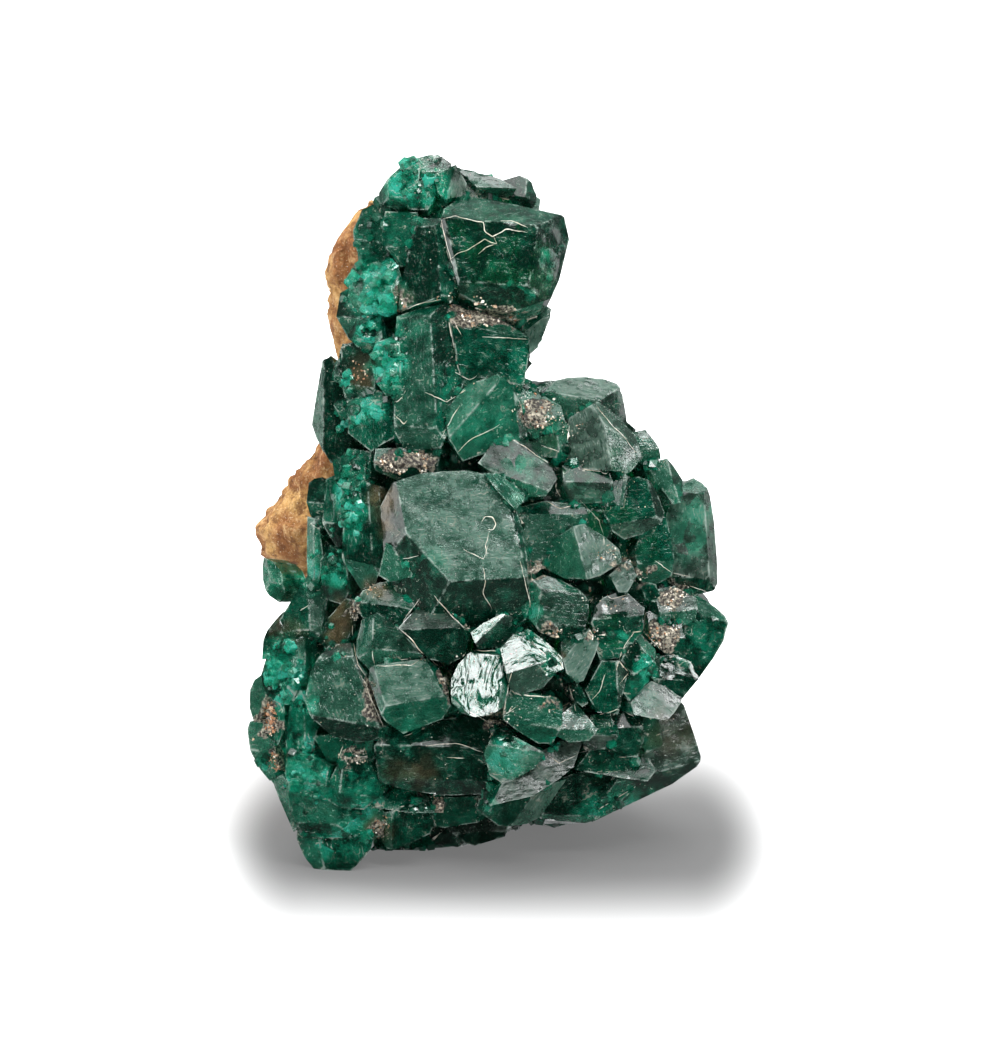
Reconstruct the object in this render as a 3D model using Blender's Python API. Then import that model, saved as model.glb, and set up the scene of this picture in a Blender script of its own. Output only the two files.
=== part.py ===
# A dioptase specimen: deep green crystals grown together on a brown limonite rock.
# Crystals that face the front are written in a tilted view frame, in millimetres:
# across runs to the right, up runs up the face, near runs out of the face.
# Every crystal is a convex body made by cutting a block with flat planes.

import math
import random

import bmesh
import bpy
from mathutils import Matrix, Vector, noise

MM = 0.001
FACE_TILT = math.radians(15.0)        # the written frame leans back by this much
SPECIMEN_SHIFT = (0.000235, -0.00604)  # moves the middle of the base over the origin
FRONT_TAPER = 0.06                    # a front crystal narrows by this much per mm of depth
FRONT_DEPTH = 11.0                    # how far a front crystal reaches back into the mass
LEAN_DISTANCE = 30.0                  # front crystals point away from a line this far inside
LEAN_HEIGHT = 24.0                    # crystals above this height lean up, those below lean down
LEAN_UP_DISTANCE = 90.0               # and this sets how little they lean that way
RHOMB_ANGLE = math.radians(51.0)      # tip faces, measured from the crystal's long axis
PRISM_SPREAD = (0.85, 1.1)            # how unequal the sides of a small crystal are
TIP_SPREAD = 0.16                     # how unequal its tip faces are
DRUSE_LENGTHS = (1.0, 1.5)            # reach of a small front crystal, in radii
SIDE_LENGTHS = (0.95, 1.35)           # reach of a side crystal, in radii
SIDE_SINK = 0.92                      # side crystals start this far out in the heart
DRUSE_TOP = 69.3                      # nothing small rises above this height
DRUSE_DEPTHS = (-0.3, 0.8)            # how far small crystals move out of their patch
DRUSE_TURN = 0.05                     # how fast they turn outwards from the middle
DRUSE_LEAN = (-0.6, 0.6)              # their lean to the sides
DRUSE_RISE = (-0.4, 0.6)              # their lean down and up
DRUSE_SIZES = (0.6, 1.0)              # their radius, in shares of the patch's size
SIDE_TOP = 67.0                       # and nothing on the sides above this one
SIDE_SWING = 6.0                      # degrees that a side crystal may turn off its place
SIDE_LIFT = 1.6                       # and how far it may move up or down
SIDE_RISE = (-0.15, 0.45)             # its lean down and up
SIDE_SIZES = (0.8, 1.15)              # its radius, in shares of the ring's size
HEART_SIDES = 14                      # points around one section of the heart
HEART_BULGE = 0.05                    # how far its corners swell
HEART_CORNERS = 6.0                   # how many soft corners a section has
ROCK_GAP = 0.34                       # free space between the rock and what grows on it
ROCK_SIDES = 18                       # points around one section of the rock
ROCK_STEPS = 27                       # sections along the rock
ROCK_SQUARENESS = 0.8                 # below 1 the sections turn from round to square
ROCK_ROUGHNESS = 0.75                 # height of the rock's lumps
ROCK_LUMPS = ((0.22, 1.3), (0.6, 0.6))  # how closely the lumps follow each other, and their strength
ROCK_SINK = 0.3                       # the lumps start this far below the plain section
ROCK_CORNER_LIMIT = 1.6               # a corner of the rock grows at most this much faster
BLOCK = 90.0                          # size of the block that crystals are cut from
FLOOR_SIZE = 0.2                      # side of the block that stands for the floor, in metres
CRYSTAL_GREEN = (0.004, 0.085, 0.042, 1.0)
CRYSTAL_ROUGHNESS = 0.2
CRYSTAL_IOR = 1.67
CRYSTAL_CLEARNESS = 0.6
ROCK_BROWN = (0.42, 0.23, 0.085, 1.0)
ROCK_MATERIAL_ROUGHNESS = 0.9
CLUSTER_SEED = 31
REAR_SEED = 7
EDGE_CUT_PLACE = (-22.0, 27.0, 0.6)   # the left edge crystal's back is cut through here
EDGE_CUT_FACING = (0.25, 0.0, -1.0)

# The right and left edges of the whole specimen: height up the face, then across.
RIGHT_EDGE = [(0, 8), (3, 11), (6, 17), (9, 20), (14.5, 18.5), (19, 21), (23, 23), (26, 21.5),
              (33, 22), (37, 20), (39, 17), (42, 14.5), (46, 12.5), (47, 5), (50, 3.5),
              (55, 5.5), (62, 7.5), (64, 6.5), (66, 3.5), (69, -4)]
LEFT_EDGE = [(-2, -16), (1, -19), (5, -19.5), (9, -23.5), (13, -23.5), (18, -22.5), (23, -20),
             (25.5, -18.2), (29, -18.2), (36, -17.6), (40, -17.5), (45, -17), (49, -15.2),
             (56, -13), (62, -12.5), (66, -10.5), (69, -7)]

# The grown-together heart of the cluster:
# height up the face, centre across, half width, nearest and farthest depth.
HEART = [(68.0, -5.5, 2.2, 9.0, 5.0), (66.0, -3.0, 5.0, 10.5, 3.0), (62.0, -1.8, 7.6, 11.5, 1.0),
         (56.0, -2.6, 7.4, 12.0, -1.0), (50.0, -4.6, 7.2, 12.0, -3.0), (47.0, -4.9, 7.4, 12.0, -4.6),
         (45.0, -3.2, 9.6, 12.0, -5.4), (42.0, 0.0, 13.0, 12.0, -6.6), (38.0, 1.0, 15.5, 12.4, -8.4),
         (33.0, 1.6, 17.0, 12.6, -10.2), (28.0, 2.2, 18.0, 12.6, -11.6), (24.0, 1.6, 18.6, 12.6, -12.6),
         (19.0, 0.6, 19.0, 12.6, -13.4), (14.0, -1.0, 19.0, 11.6, -14.0), (8.0, -2.0, 17.5, 9.2, -14.4),
         (4.0, -4.0, 12.6, 5.2, -13.8), (2.0, -6.2, 9.0, 2.0, -13.0), (0.0, -8.4, 8.2, 1.5, -11.5),
         (-2.5, -12.0, 6.0, 1.5, -8.0)]

# The rock: height up the face, left edge, right edge, nearest and farthest depth.
ROCK = [(65.0, -12.6, -8.6, 6.0, 2.0), (63.4, -13.6, -7.0, 7.0, -1.0), (61.6, -14.9, -5.5, 7.4, -2.5),
        (60.0, -16.2, -4.0, 7.6, -3.8), (58.4, -17.0, -3.0, 7.4, -4.8), (56.0, -16.8, -2.0, 7.0, -5.6),
        (52.0, -16.4, -1.0, 6.4, -7.0), (48.6, -15.6, 0.0, 5.4, -8.2), (45.0, -15.4, 1.5, 4.5, -9.6),
        (41.5, -16.8, 3.0, 4.0, -11.0), (39.0, -18.6, 4.5, 4.0, -12.2), (36.3, -20.4, 6.0, 4.0, -13.6),
        (34.2, -22.2, 7.0, 4.2, -14.6), (32.0, -23.6, 8.0, 4.2, -15.4), (30.2, -23.8, 8.6, 3.8, -16.0),
        (28.8, -22.6, 9.0, 2.8, -16.4), (27.4, -18.8, 9.2, 1.0, -16.8), (24.0, -17.4, 9.6, -2.0, -17.4),
        (19.0, -18.6, 9.6, -3.0, -18.0), (14.0, -19.8, 9.0, -3.0, -18.4), (9.0, -19.6, 8.0, -3.0, -18.4),
        (5.0, -18.4, 6.0, -3.0, -18.0), (2.0, -17.0, 3.0, -3.0, -17.0), (-1.0, -15.6, 0.0, -3.0, -15.0)]

# Front crystals. Each has a point on its main face (at), how near that point is, how far
# the face falls per mm to the right and per mm up (slope), its outline, and edges: beyond
# the line through the two points the surface falls by the last number per mm.
UPPER_CRYSTALS = [
    dict(at=(-9.2, 66.2), near=12.0, slope=(-0.25, 0.3),
         outline=[(-11.3, 64.8), (-11.4, 66.0), (-9.9, 67.5), (-8.3, 68.9), (-7.0, 68.5),
                  (-7.0, 64.8), (-9.0, 63.7), (-10.5, 64.3)],
         edges=[((-10.3, 67.0), (-10.0, 64.5), 0.9), ((-9.8, 65.0), (-7.2, 64.9), 0.8)]),
    dict(at=(-6.2, 68.0), near=11.5, slope=(0.1, 0.6),
         outline=[(-9.0, 68.3), (-8.3, 68.9), (-7.1, 69.3), (-6.0, 69.7), (-4.8, 69.5), (-3.8, 68.6),
                  (-4.2, 67.3), (-5.5, 65.8), (-7.8, 65.8)],
         edges=[((-8.0, 67.4), (-4.6, 67.6), 0.9)]),
    dict(at=(-6.8, 65.4), near=12.8, slope=(-0.2, 0.1),
         outline=[(-8.5, 66.0), (-5.0, 67.6), (-5.4, 65.3), (-6.2, 63.6), (-8.2, 63.8)],
         edges=[((-6.0, 67.2), (-6.4, 63.8), 0.8)]),
    dict(at=(-4.5, 66.3), near=13.0, slope=(-0.4, 0.2),
         outline=[(-5.6, 67.6), (-3.4, 68.2), (-2.3, 66.7), (-2.4, 65.5), (-4.3, 64.6),
                  (-5.2, 65.4)],
         edges=[((-3.5, 67.9), (-4.3, 64.8), 1.0)]),
    dict(at=(0.0, 59.5), near=15.0, slope=(0.02, 0.05),
         outline=[(-4.5, 64.3), (-2.3, 66.6), (0.0, 66.2), (3.0, 65.4), (7.8, 63.9), (8.4, 61.8),
                  (7.9, 59.8), (7.3, 57.5), (6.4, 55.5), (5.6, 55.0), (3.0, 54.3), (-1.0, 54.8),
                  (-3.0, 55.6), (-4.0, 59.0), (-4.9, 62.6)],
         edges=[((-4.8, 62.9), (8.2, 61.9), 1.2), ((4.8, 62.0), (3.6, 54.6), 0.7),
                ((-3.6, 56.6), (7.0, 55.9), 0.8), ((-4.3, 62.0), (-2.9, 56.0), 0.9)]),
    dict(at=(-1.0, 67.2), near=11.0, slope=(0.1, 0.8),
         outline=[(-3.4, 68.1), (-1.5, 67.8), (1.0, 66.8), (2.5, 65.6), (-1.4, 65.6)], edges=[]),
    dict(at=(3.0, 66.4), near=9.5, slope=(0.0, 0.4),
         outline=[(1.3, 66.8), (3.0, 67.4), (4.3, 66.8), (4.8, 65.6), (4.7, 64.6), (2.5, 65.0)],
         edges=[((3.7, 67.0), (3.5, 64.8), 0.9)]),
    dict(at=(4.6, 52.0), near=10.0, slope=(0.3, -0.15),
         outline=[(3.3, 54.5), (5.6, 55.0), (6.5, 54.2), (6.0, 52.8), (5.3, 50.8), (4.9, 50.1),
                  (4.1, 49.5), (3.2, 50.8)],
         edges=[((3.5, 52.8), (5.3, 53.0), 1.0), ((5.3, 53.0), (6.5, 53.9), 1.0)]),
    dict(at=(-7.0, 58.5), near=14.0, slope=(-0.35, 0.05),
         outline=[(-7.2, 63.4), (-4.9, 62.9), (-4.0, 59.2), (-3.3, 56.8), (-3.8, 55.0), (-7.0, 54.2),
                  (-9.2, 54.0), (-9.0, 56.3), (-8.2, 59.8)],
         edges=[((-5.4, 62.9), (-4.9, 54.6), 0.8), ((-7.0, 62.0), (-4.8, 62.2), 1.0)]),
    dict(at=(-8.8, 61.2), near=12.8, slope=(-0.3, 0.15),
         outline=[(-10.7, 64.0), (-7.2, 63.4), (-6.9, 60.8), (-7.0, 58.5), (-9.3, 58.4),
                  (-11.0, 60.8)],
         edges=[((-10.7, 60.2), (-7.0, 59.6), 0.8)]),
    dict(at=(-11.4, 61.4), near=10.4, slope=(-0.45, 0.1),
         outline=[(-13.1, 64.2), (-10.8, 64.8), (-9.2, 63.3), (-9.6, 59.8), (-11.6, 58.4),
                  (-13.8, 59.6), (-14.1, 62.2)],
         edges=[((-13.8, 60.9), (-9.6, 60.3), 0.7)]),
    dict(at=(-11.6, 56.4), near=12.2, slope=(-0.35, 0.2),
         outline=[(-14.3, 58.6), (-11.8, 59.2), (-9.4, 58.6), (-8.5, 56.3), (-9.3, 53.5),
                  (-12.8, 53.1), (-14.4, 55.0)],
         edges=[((-14.0, 56.9), (-8.8, 55.9), 0.5), ((-10.0, 58.6), (-9.7, 53.8), 0.7)]),
    dict(at=(-14.0, 53.8), near=10.0, slope=(-0.5, 0.2),
         outline=[(-15.3, 55.8), (-13.8, 56.4), (-12.3, 54.8), (-12.5, 51.6), (-14.5, 51.1),
                  (-15.6, 53.3)],
         edges=[((-15.4, 53.2), (-12.5, 52.8), 0.7)]),
    dict(at=(-12.3, 51.6), near=12.0, slope=(-0.3, 0.35),
         outline=[(-13.5, 53.0), (-10.9, 53.2), (-10.6, 50.8), (-11.6, 49.6), (-13.4, 50.2),
                  (-14.4, 51.3)],
         edges=[((-13.6, 50.9), (-10.7, 50.5), 0.9)]),
    dict(at=(-9.8, 48.2), near=14.2, slope=(-0.2, 0.05),
         outline=[(-11.4, 50.8), (-10.0, 51.3), (-8.5, 51.0), (-8.1, 49.6), (-8.2, 47.0),
                  (-8.7, 45.1), (-10.5, 45.3), (-11.6, 46.8), (-12.0, 49.3)],
         edges=[((-9.0, 51.0), (-8.9, 45.2), 0.9), ((-11.4, 50.2), (-8.4, 50.3), 0.9),
                ((-11.0, 46.3), (-8.6, 46.0), 0.7)]),
    dict(at=(-7.2, 47.5), near=14.6, slope=(-0.3, 0.08),
         outline=[(-9.4, 53.5), (-7.0, 54.3), (-4.4, 54.6), (-3.6, 53.0), (-2.8, 50.3), (-2.6, 46.8),
                  (-3.4, 42.8), (-4.9, 39.9), (-8.5, 39.8), (-9.6, 41.8), (-9.6, 50.8)],
         edges=[((-6.0, 54.2), (-5.2, 40.2), 0.7), ((-9.0, 52.9), (-4.0, 53.4), 0.9),
                ((-9.2, 42.2), (-3.8, 41.8), 0.5)]),
    dict(at=(0.2, 49.3), near=14.0, slope=(0.1, -0.05),
         outline=[(-4.4, 54.5), (-3.0, 54.9), (0.0, 53.9), (1.2, 53.3), (3.2, 51.8), (4.0, 50.8),
                  (4.0, 49.6), (3.6, 47.0), (3.0, 44.8), (0.7, 45.5), (-2.0, 46.1), (-3.1, 47.6)],
         edges=[((-3.2, 52.2), (3.8, 51.0), 1.1), ((-2.0, 47.2), (3.4, 46.2), 0.6)]),
    dict(at=(-13.3, 47.5), near=11.4, slope=(-0.4, 0.1),
         outline=[(-15.2, 50.3), (-12.8, 51.0), (-11.2, 49.3), (-11.3, 45.5), (-13.0, 44.2),
                  (-14.9, 45.3)],
         edges=[((-15.0, 46.5), (-11.4, 45.9), 0.7)]),
    dict(at=(-11.8, 43.0), near=12.6, slope=(-0.4, 0.05),
         outline=[(-14.8, 45.1), (-11.6, 46.0), (-9.2, 45.0), (-9.2, 41.0), (-11.8, 39.6),
                  (-14.5, 41.6)],
         edges=[((-14.2, 44.2), (-9.6, 44.4), 0.6), ((-11.0, 45.6), (-10.6, 40.0), 0.5)]),
    dict(at=(-15.6, 43.5), near=8.4, slope=(-0.15, 0.02),
         outline=[(-17.0, 48.8), (-16.0, 49.3), (-14.9, 47.0), (-14.3, 44.8), (-13.8, 40.8),
                  (-14.0, 38.6), (-15.9, 38.5), (-17.8, 41.2), (-18.5, 42.6), (-17.9, 45.3)],
         edges=[((-16.6, 48.6), (-16.7, 39.5), 0.8)]),
    dict(at=(-8.4, 38.6), near=14.2, slope=(0.0, 0.4),
         outline=[(-11.6, 40.0), (-9.0, 40.2), (-5.0, 40.0), (-5.2, 37.4), (-9.0, 36.6),
                  (-11.6, 37.8)],
         edges=[((-11.4, 38.6), (-5.2, 38.2), 0.8)]),
    dict(at=(-13.6, 37.8), near=12.0, slope=(-0.3, 0.2),
         outline=[(-16.2, 38.8), (-14.0, 40.0), (-11.8, 39.6), (-11.6, 37.0), (-13.5, 34.8),
                  (-15.5, 36.3)],
         edges=[((-15.6, 36.8), (-11.8, 36.8), 0.7)]),
]

MIDDLE_CRYSTALS = [
    dict(at=(0.6, 43.0), near=15.6, slope=(0.15, -0.2),
         outline=[(0.7, 47.2), (2.3, 46.0), (3.2, 44.3), (3.8, 41.8), (3.0, 40.8), (0.7, 40.5),
                  (-2.7, 38.7), (-4.1, 40.8), (-4.5, 43.8), (-2.2, 46.4)],
         edges=[((0.7, 46.4), (-3.0, 42.2), 0.65), ((2.4, 45.6), (3.0, 41.0), 0.8)]),
    dict(at=(4.8, 43.8), near=13.6, slope=(0.1, 0.5),
         outline=[(2.0, 46.3), (5.2, 45.6), (7.2, 44.3), (7.4, 42.3), (4.2, 41.1), (2.6, 43.0)],
         edges=[((2.8, 43.0), (7.2, 42.8), 0.7)]),
    dict(at=(9.0, 44.0), near=12.2, slope=(-0.05, -0.45),
         outline=[(4.8, 45.0), (5.8, 46.0), (6.8, 46.9), (8.2, 47.3), (10.2, 47.5), (12.1, 47.3),
                  (13.3, 46.8), (13.9, 45.6), (14.4, 43.6), (14.7, 41.7), (12.8, 42.3), (10.4, 43.2),
                  (7.0, 42.9)],
         edges=[((5.6, 45.6), (10.8, 44.7), 1.3), ((11.0, 44.6), (12.2, 42.4), 0.9)]),
    dict(at=(9.6, 41.0), near=13.8, slope=(-0.4, 0.1),
         outline=[(11.0, 44.8), (13.0, 43.4), (14.5, 41.6), (15.1, 39.0), (13.6, 37.4), (11.0, 37.6),
                  (8.5, 38.0), (7.0, 39.0), (7.0, 39.8), (8.3, 41.6), (8.2, 43.2)],
         edges=[((10.0, 44.5), (11.4, 42.3), 1.19), ((11.4, 42.3), (11.9, 39.0), 0.66)]),
    dict(at=(5.6, 41.2), near=13.6, slope=(0.0, -0.1),
         outline=[(2.8, 40.8), (4.0, 43.0), (7.0, 43.3), (8.6, 41.8), (8.6, 39.8), (6.6, 39.0),
                  (4.0, 39.3)],
         edges=[((4.0, 42.4), (8.0, 42.2), 0.8), ((6.4, 43.0), (7.0, 39.2), 0.5)]),
    dict(at=(2.6, 38.4), near=16.0, slope=(-0.05, 0.3),
         outline=[(-1.2, 38.5), (0.5, 40.8), (2.3, 41.2), (4.0, 40.3), (5.8, 38.6), (6.6, 36.8),
                  (5.5, 35.1), (3.5, 35.1), (1.0, 37.2)],
         edges=[((2.0, 41.0), (5.6, 38.4), 1.0), ((1.0, 37.4), (5.5, 35.8), 0.9)]),
    dict(at=(1.8, 36.2), near=16.8, slope=(0.4, 0.5),
         outline=[(-0.6, 37.4), (0.7, 37.6), (2.3, 36.5), (3.5, 35.5), (3.4, 34.7), (2.5, 33.8),
                  (1.0, 35.3)],
         edges=[]),
    dict(at=(9.6, 37.4), near=14.2, slope=(0.0, 0.5),
         outline=[(7.3, 38.3), (9.5, 38.6), (11.7, 38.5), (12.1, 36.6), (11.8, 34.6), (8.3, 34.4),
                  (7.2, 36.3)],
         edges=[((7.4, 36.6), (12.0, 36.5), 1.0)]),
    dict(at=(12.6, 36.0), near=13.8, slope=(-0.1, 0.3),
         outline=[(11.6, 36.4), (13.1, 37.8), (14.0, 37.2), (13.6, 35.8), (13.1, 34.3),
                  (11.5, 34.1)],
         edges=[((13.4, 37.4), (12.8, 34.4), 0.8)]),
    dict(at=(14.2, 34.2), near=13.0, slope=(-0.05, 0.15),
         outline=[(13.6, 37.0), (15.0, 37.2), (16.3, 36.7), (17.0, 35.3), (17.6, 33.6), (17.0, 32.4),
                  (15.5, 31.4), (13.8, 30.9), (12.3, 31.7), (11.3, 33.5), (12.4, 35.6)],
         edges=[((12.4, 32.4), (17.2, 33.2), 0.8), ((15.6, 37.2), (16.6, 33.0), 0.7),
                ((12.0, 34.8), (14.0, 36.9), 0.6)]),
    dict(at=(15.4, 40.4), near=10.5, slope=(0.1, 0.2),
         outline=[(14.3, 41.6), (15.7, 41.9), (16.6, 40.6), (17.4, 39.0), (15.9, 38.3),
                  (14.7, 38.8)],
         edges=[((15.0, 39.9), (17.0, 39.9), 0.7)]),
    dict(at=(17.2, 37.2), near=10.0, slope=(-0.1, 0.1),
         outline=[(15.8, 38.5), (17.8, 39.0), (18.7, 38.2), (19.7, 36.9), (19.4, 35.6), (19.1, 34.6),
                  (18.1, 34.3), (16.5, 36.8)],
         edges=[((17.6, 39.0), (18.9, 34.6), 1.0)]),
    dict(at=(20.0, 31.0), near=8.0, slope=(-0.1, 0.05),
         outline=[(19.1, 36.1), (20.2, 36.7), (21.1, 37.2), (21.8, 36.6), (22.5, 35.3), (23.0, 32.8),
                  (23.2, 28.8), (23.1, 26.5), (22.4, 25.7), (20.0, 25.0), (18.5, 26.1), (17.5, 29.0),
                  (17.4, 31.8), (18.1, 34.3)],
         edges=[((21.3, 37.0), (22.0, 26.0), 1.2), ((19.4, 35.6), (22.4, 35.2), 0.6),
                ((18.2, 27.2), (22.6, 26.8), 0.6)]),
    dict(at=(16.4, 29.8), near=10.5, slope=(0.3, 0.0),
         outline=[(15.0, 31.8), (17.8, 33.3), (18.5, 30.3), (19.0, 27.3), (16.5, 25.8), (14.6, 27.3),
                  (14.2, 29.8)],
         edges=[((14.8, 28.4), (18.4, 28.8), 0.6)]),
    dict(at=(10.2, 29.4), near=15.0, slope=(0.3, 0.25),
         outline=[(8.3, 32.2), (9.6, 32.5), (11.4, 31.4), (13.1, 30.0), (13.4, 28.6), (11.0, 27.3),
                  (9.6, 26.9), (7.5, 27.0), (5.8, 28.0), (5.0, 29.0), (5.6, 30.3)],
         edges=[((8.3, 32.1), (9.6, 27.1), 0.9)]),
    dict(at=(5.6, 32.2), near=14.0, slope=(0.1, -0.15),
         outline=[(2.3, 34.0), (5.5, 34.8), (9.5, 34.4), (10.0, 32.4), (8.3, 31.0), (5.8, 29.0),
                  (4.0, 26.8), (3.0, 28.8)],
         edges=[((3.0, 33.4), (9.6, 33.4), 0.8)]),
    dict(at=(10.4, 33.2), near=12.5, slope=(0.0, -0.3),
         outline=[(8.2, 34.8), (11.8, 34.5), (12.5, 31.8), (11.4, 30.3), (9.5, 31.0), (8.0, 32.0)],
         edges=[((8.4, 33.8), (12.0, 33.6), 0.6)]),
    dict(at=(13.2, 27.2), near=14.0, slope=(0.2, 0.15),
         outline=[(11.8, 27.3), (13.4, 28.6), (14.1, 29.0), (14.8, 27.3), (14.0, 26.1), (13.6, 25.6),
                  (12.7, 25.6)],
         edges=[]),
    dict(at=(6.8, 24.2), near=15.0, slope=(0.1, 0.05),
         outline=[(3.8, 26.5), (5.5, 27.4), (7.2, 26.9), (9.0, 25.9), (9.9, 24.8), (9.9, 23.2),
                  (9.0, 20.7), (7.0, 20.8), (5.0, 21.6), (3.5, 23.6)],
         edges=[((5.2, 26.6), (4.6, 21.8), 0.6), ((4.6, 26.0), (9.4, 25.4), 0.8),
                ((5.0, 22.4), (9.4, 22.0), 0.6)]),
    dict(at=(12.6, 23.8), near=14.0, slope=(0.05, 0.3),
         outline=[(11.4, 25.1), (12.8, 25.6), (13.9, 25.6), (14.7, 24.8), (15.5, 24.0), (15.0, 22.3),
                  (13.0, 20.8), (11.0, 20.8), (10.0, 22.6), (10.6, 24.3)],
         edges=[((10.4, 22.9), (15.0, 23.3), 0.9)]),
    dict(at=(16.0, 25.6), near=12.6, slope=(0.2, 0.0),
         outline=[(15.1, 26.0), (15.8, 26.6), (16.6, 26.4), (17.1, 25.3), (16.5, 24.6),
                  (15.5, 24.8)], edges=[]),
    dict(at=(18.6, 24.4), near=9.6, slope=(0.2, 0.5),
         outline=[(16.5, 25.8), (19.0, 26.3), (21.0, 25.0), (20.8, 22.8), (18.5, 21.8),
                  (16.5, 23.3)],
         edges=[((17.0, 23.6), (20.8, 23.8), 0.8)]),
    dict(at=(-3.4, 30.6), near=17.8, slope=(0.04, 0.2),
         outline=[(-10.0, 36.6), (-7.0, 37.6), (-5.0, 37.8), (-2.5, 37.9), (-0.5, 37.5), (1.3, 36.0),
                  (2.5, 34.0), (3.2, 31.8), (3.7, 28.8), (3.9, 24.8), (3.3, 23.0), (1.3, 23.3),
                  (-1.0, 20.8), (-3.5, 22.3), (-6.0, 25.1), (-9.5, 24.8), (-11.0, 28.8),
                  (-11.5, 34.3)],
         edges=[((-4.0, 26.7), (3.8, 27.1), 1.0), ((-4.0, 26.7), (-8.2, 31.3), 0.9),
                ((-9.2, 36.0), (-8.3, 31.4), 1.1), ((1.4, 35.8), (3.7, 27.4), 0.5)]),
    dict(at=(-12.8, 31.4), near=13.5, slope=(-0.3, 0.05),
         outline=[(-15.0, 34.8), (-12.8, 36.8), (-11.2, 36.2), (-10.6, 31.8), (-10.2, 28.8),
                  (-11.5, 26.5), (-13.5, 25.8), (-15.0, 28.8)],
         edges=[((-12.2, 36.4), (-11.6, 26.8), 0.5), ((-14.6, 29.0), (-10.6, 28.0), 0.6)]),
    dict(at=(-15.4, 34.0), near=10.5, slope=(-0.4, 0.1),
         outline=[(-16.8, 37.0), (-14.5, 37.8), (-13.8, 34.8), (-14.5, 30.8), (-16.0, 30.0),
                  (-17.0, 32.3)],
         edges=[((-16.6, 32.6), (-14.2, 32.2), 0.7)]),
    dict(at=(-17.2, 34.6), near=8.4, slope=(-0.4, 0.1),
         outline=[(-18.5, 36.6), (-17.8, 37.0), (-16.8, 37.1), (-15.7, 36.5), (-15.7, 34.8),
                  (-16.0, 33.3), (-17.0, 32.3), (-18.8, 33.3)],
         edges=[((-18.4, 34.6), (-16.0, 34.4), 0.8)]),
    dict(at=(-17.6, 29.6), near=8.6, slope=(-0.4, 0.0),
         outline=[(-18.8, 33.3), (-17.0, 32.8), (-16.4, 28.8), (-17.2, 25.8), (-18.7, 25.6),
                  (-18.9, 29.3)],
         edges=[((-17.6, 33.0), (-17.6, 26.0), 0.7)]),
    dict(at=(-13.8, 34.2), near=12.8, slope=(-0.3, 0.1),
         outline=[(-13.8, 38.8), (-12.4, 38.8), (-12.4, 37.0), (-12.9, 35.3), (-13.2, 33.8),
                  (-13.4, 31.8), (-14.6, 30.7), (-15.2, 31.5), (-15.0, 34.8)],
         edges=[((-14.8, 34.0), (-13.0, 33.6), 0.6)]),
    dict(at=(-15.6, 27.4), near=11.4, slope=(-0.3, 0.0),
         outline=[(-17.2, 28.8), (-16.0, 30.3), (-14.2, 29.3), (-13.8, 25.8), (-15.2, 24.3),
                  (-17.0, 24.8)],
         edges=[((-16.8, 26.4), (-14.0, 26.0), 0.7)]),
]

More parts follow.
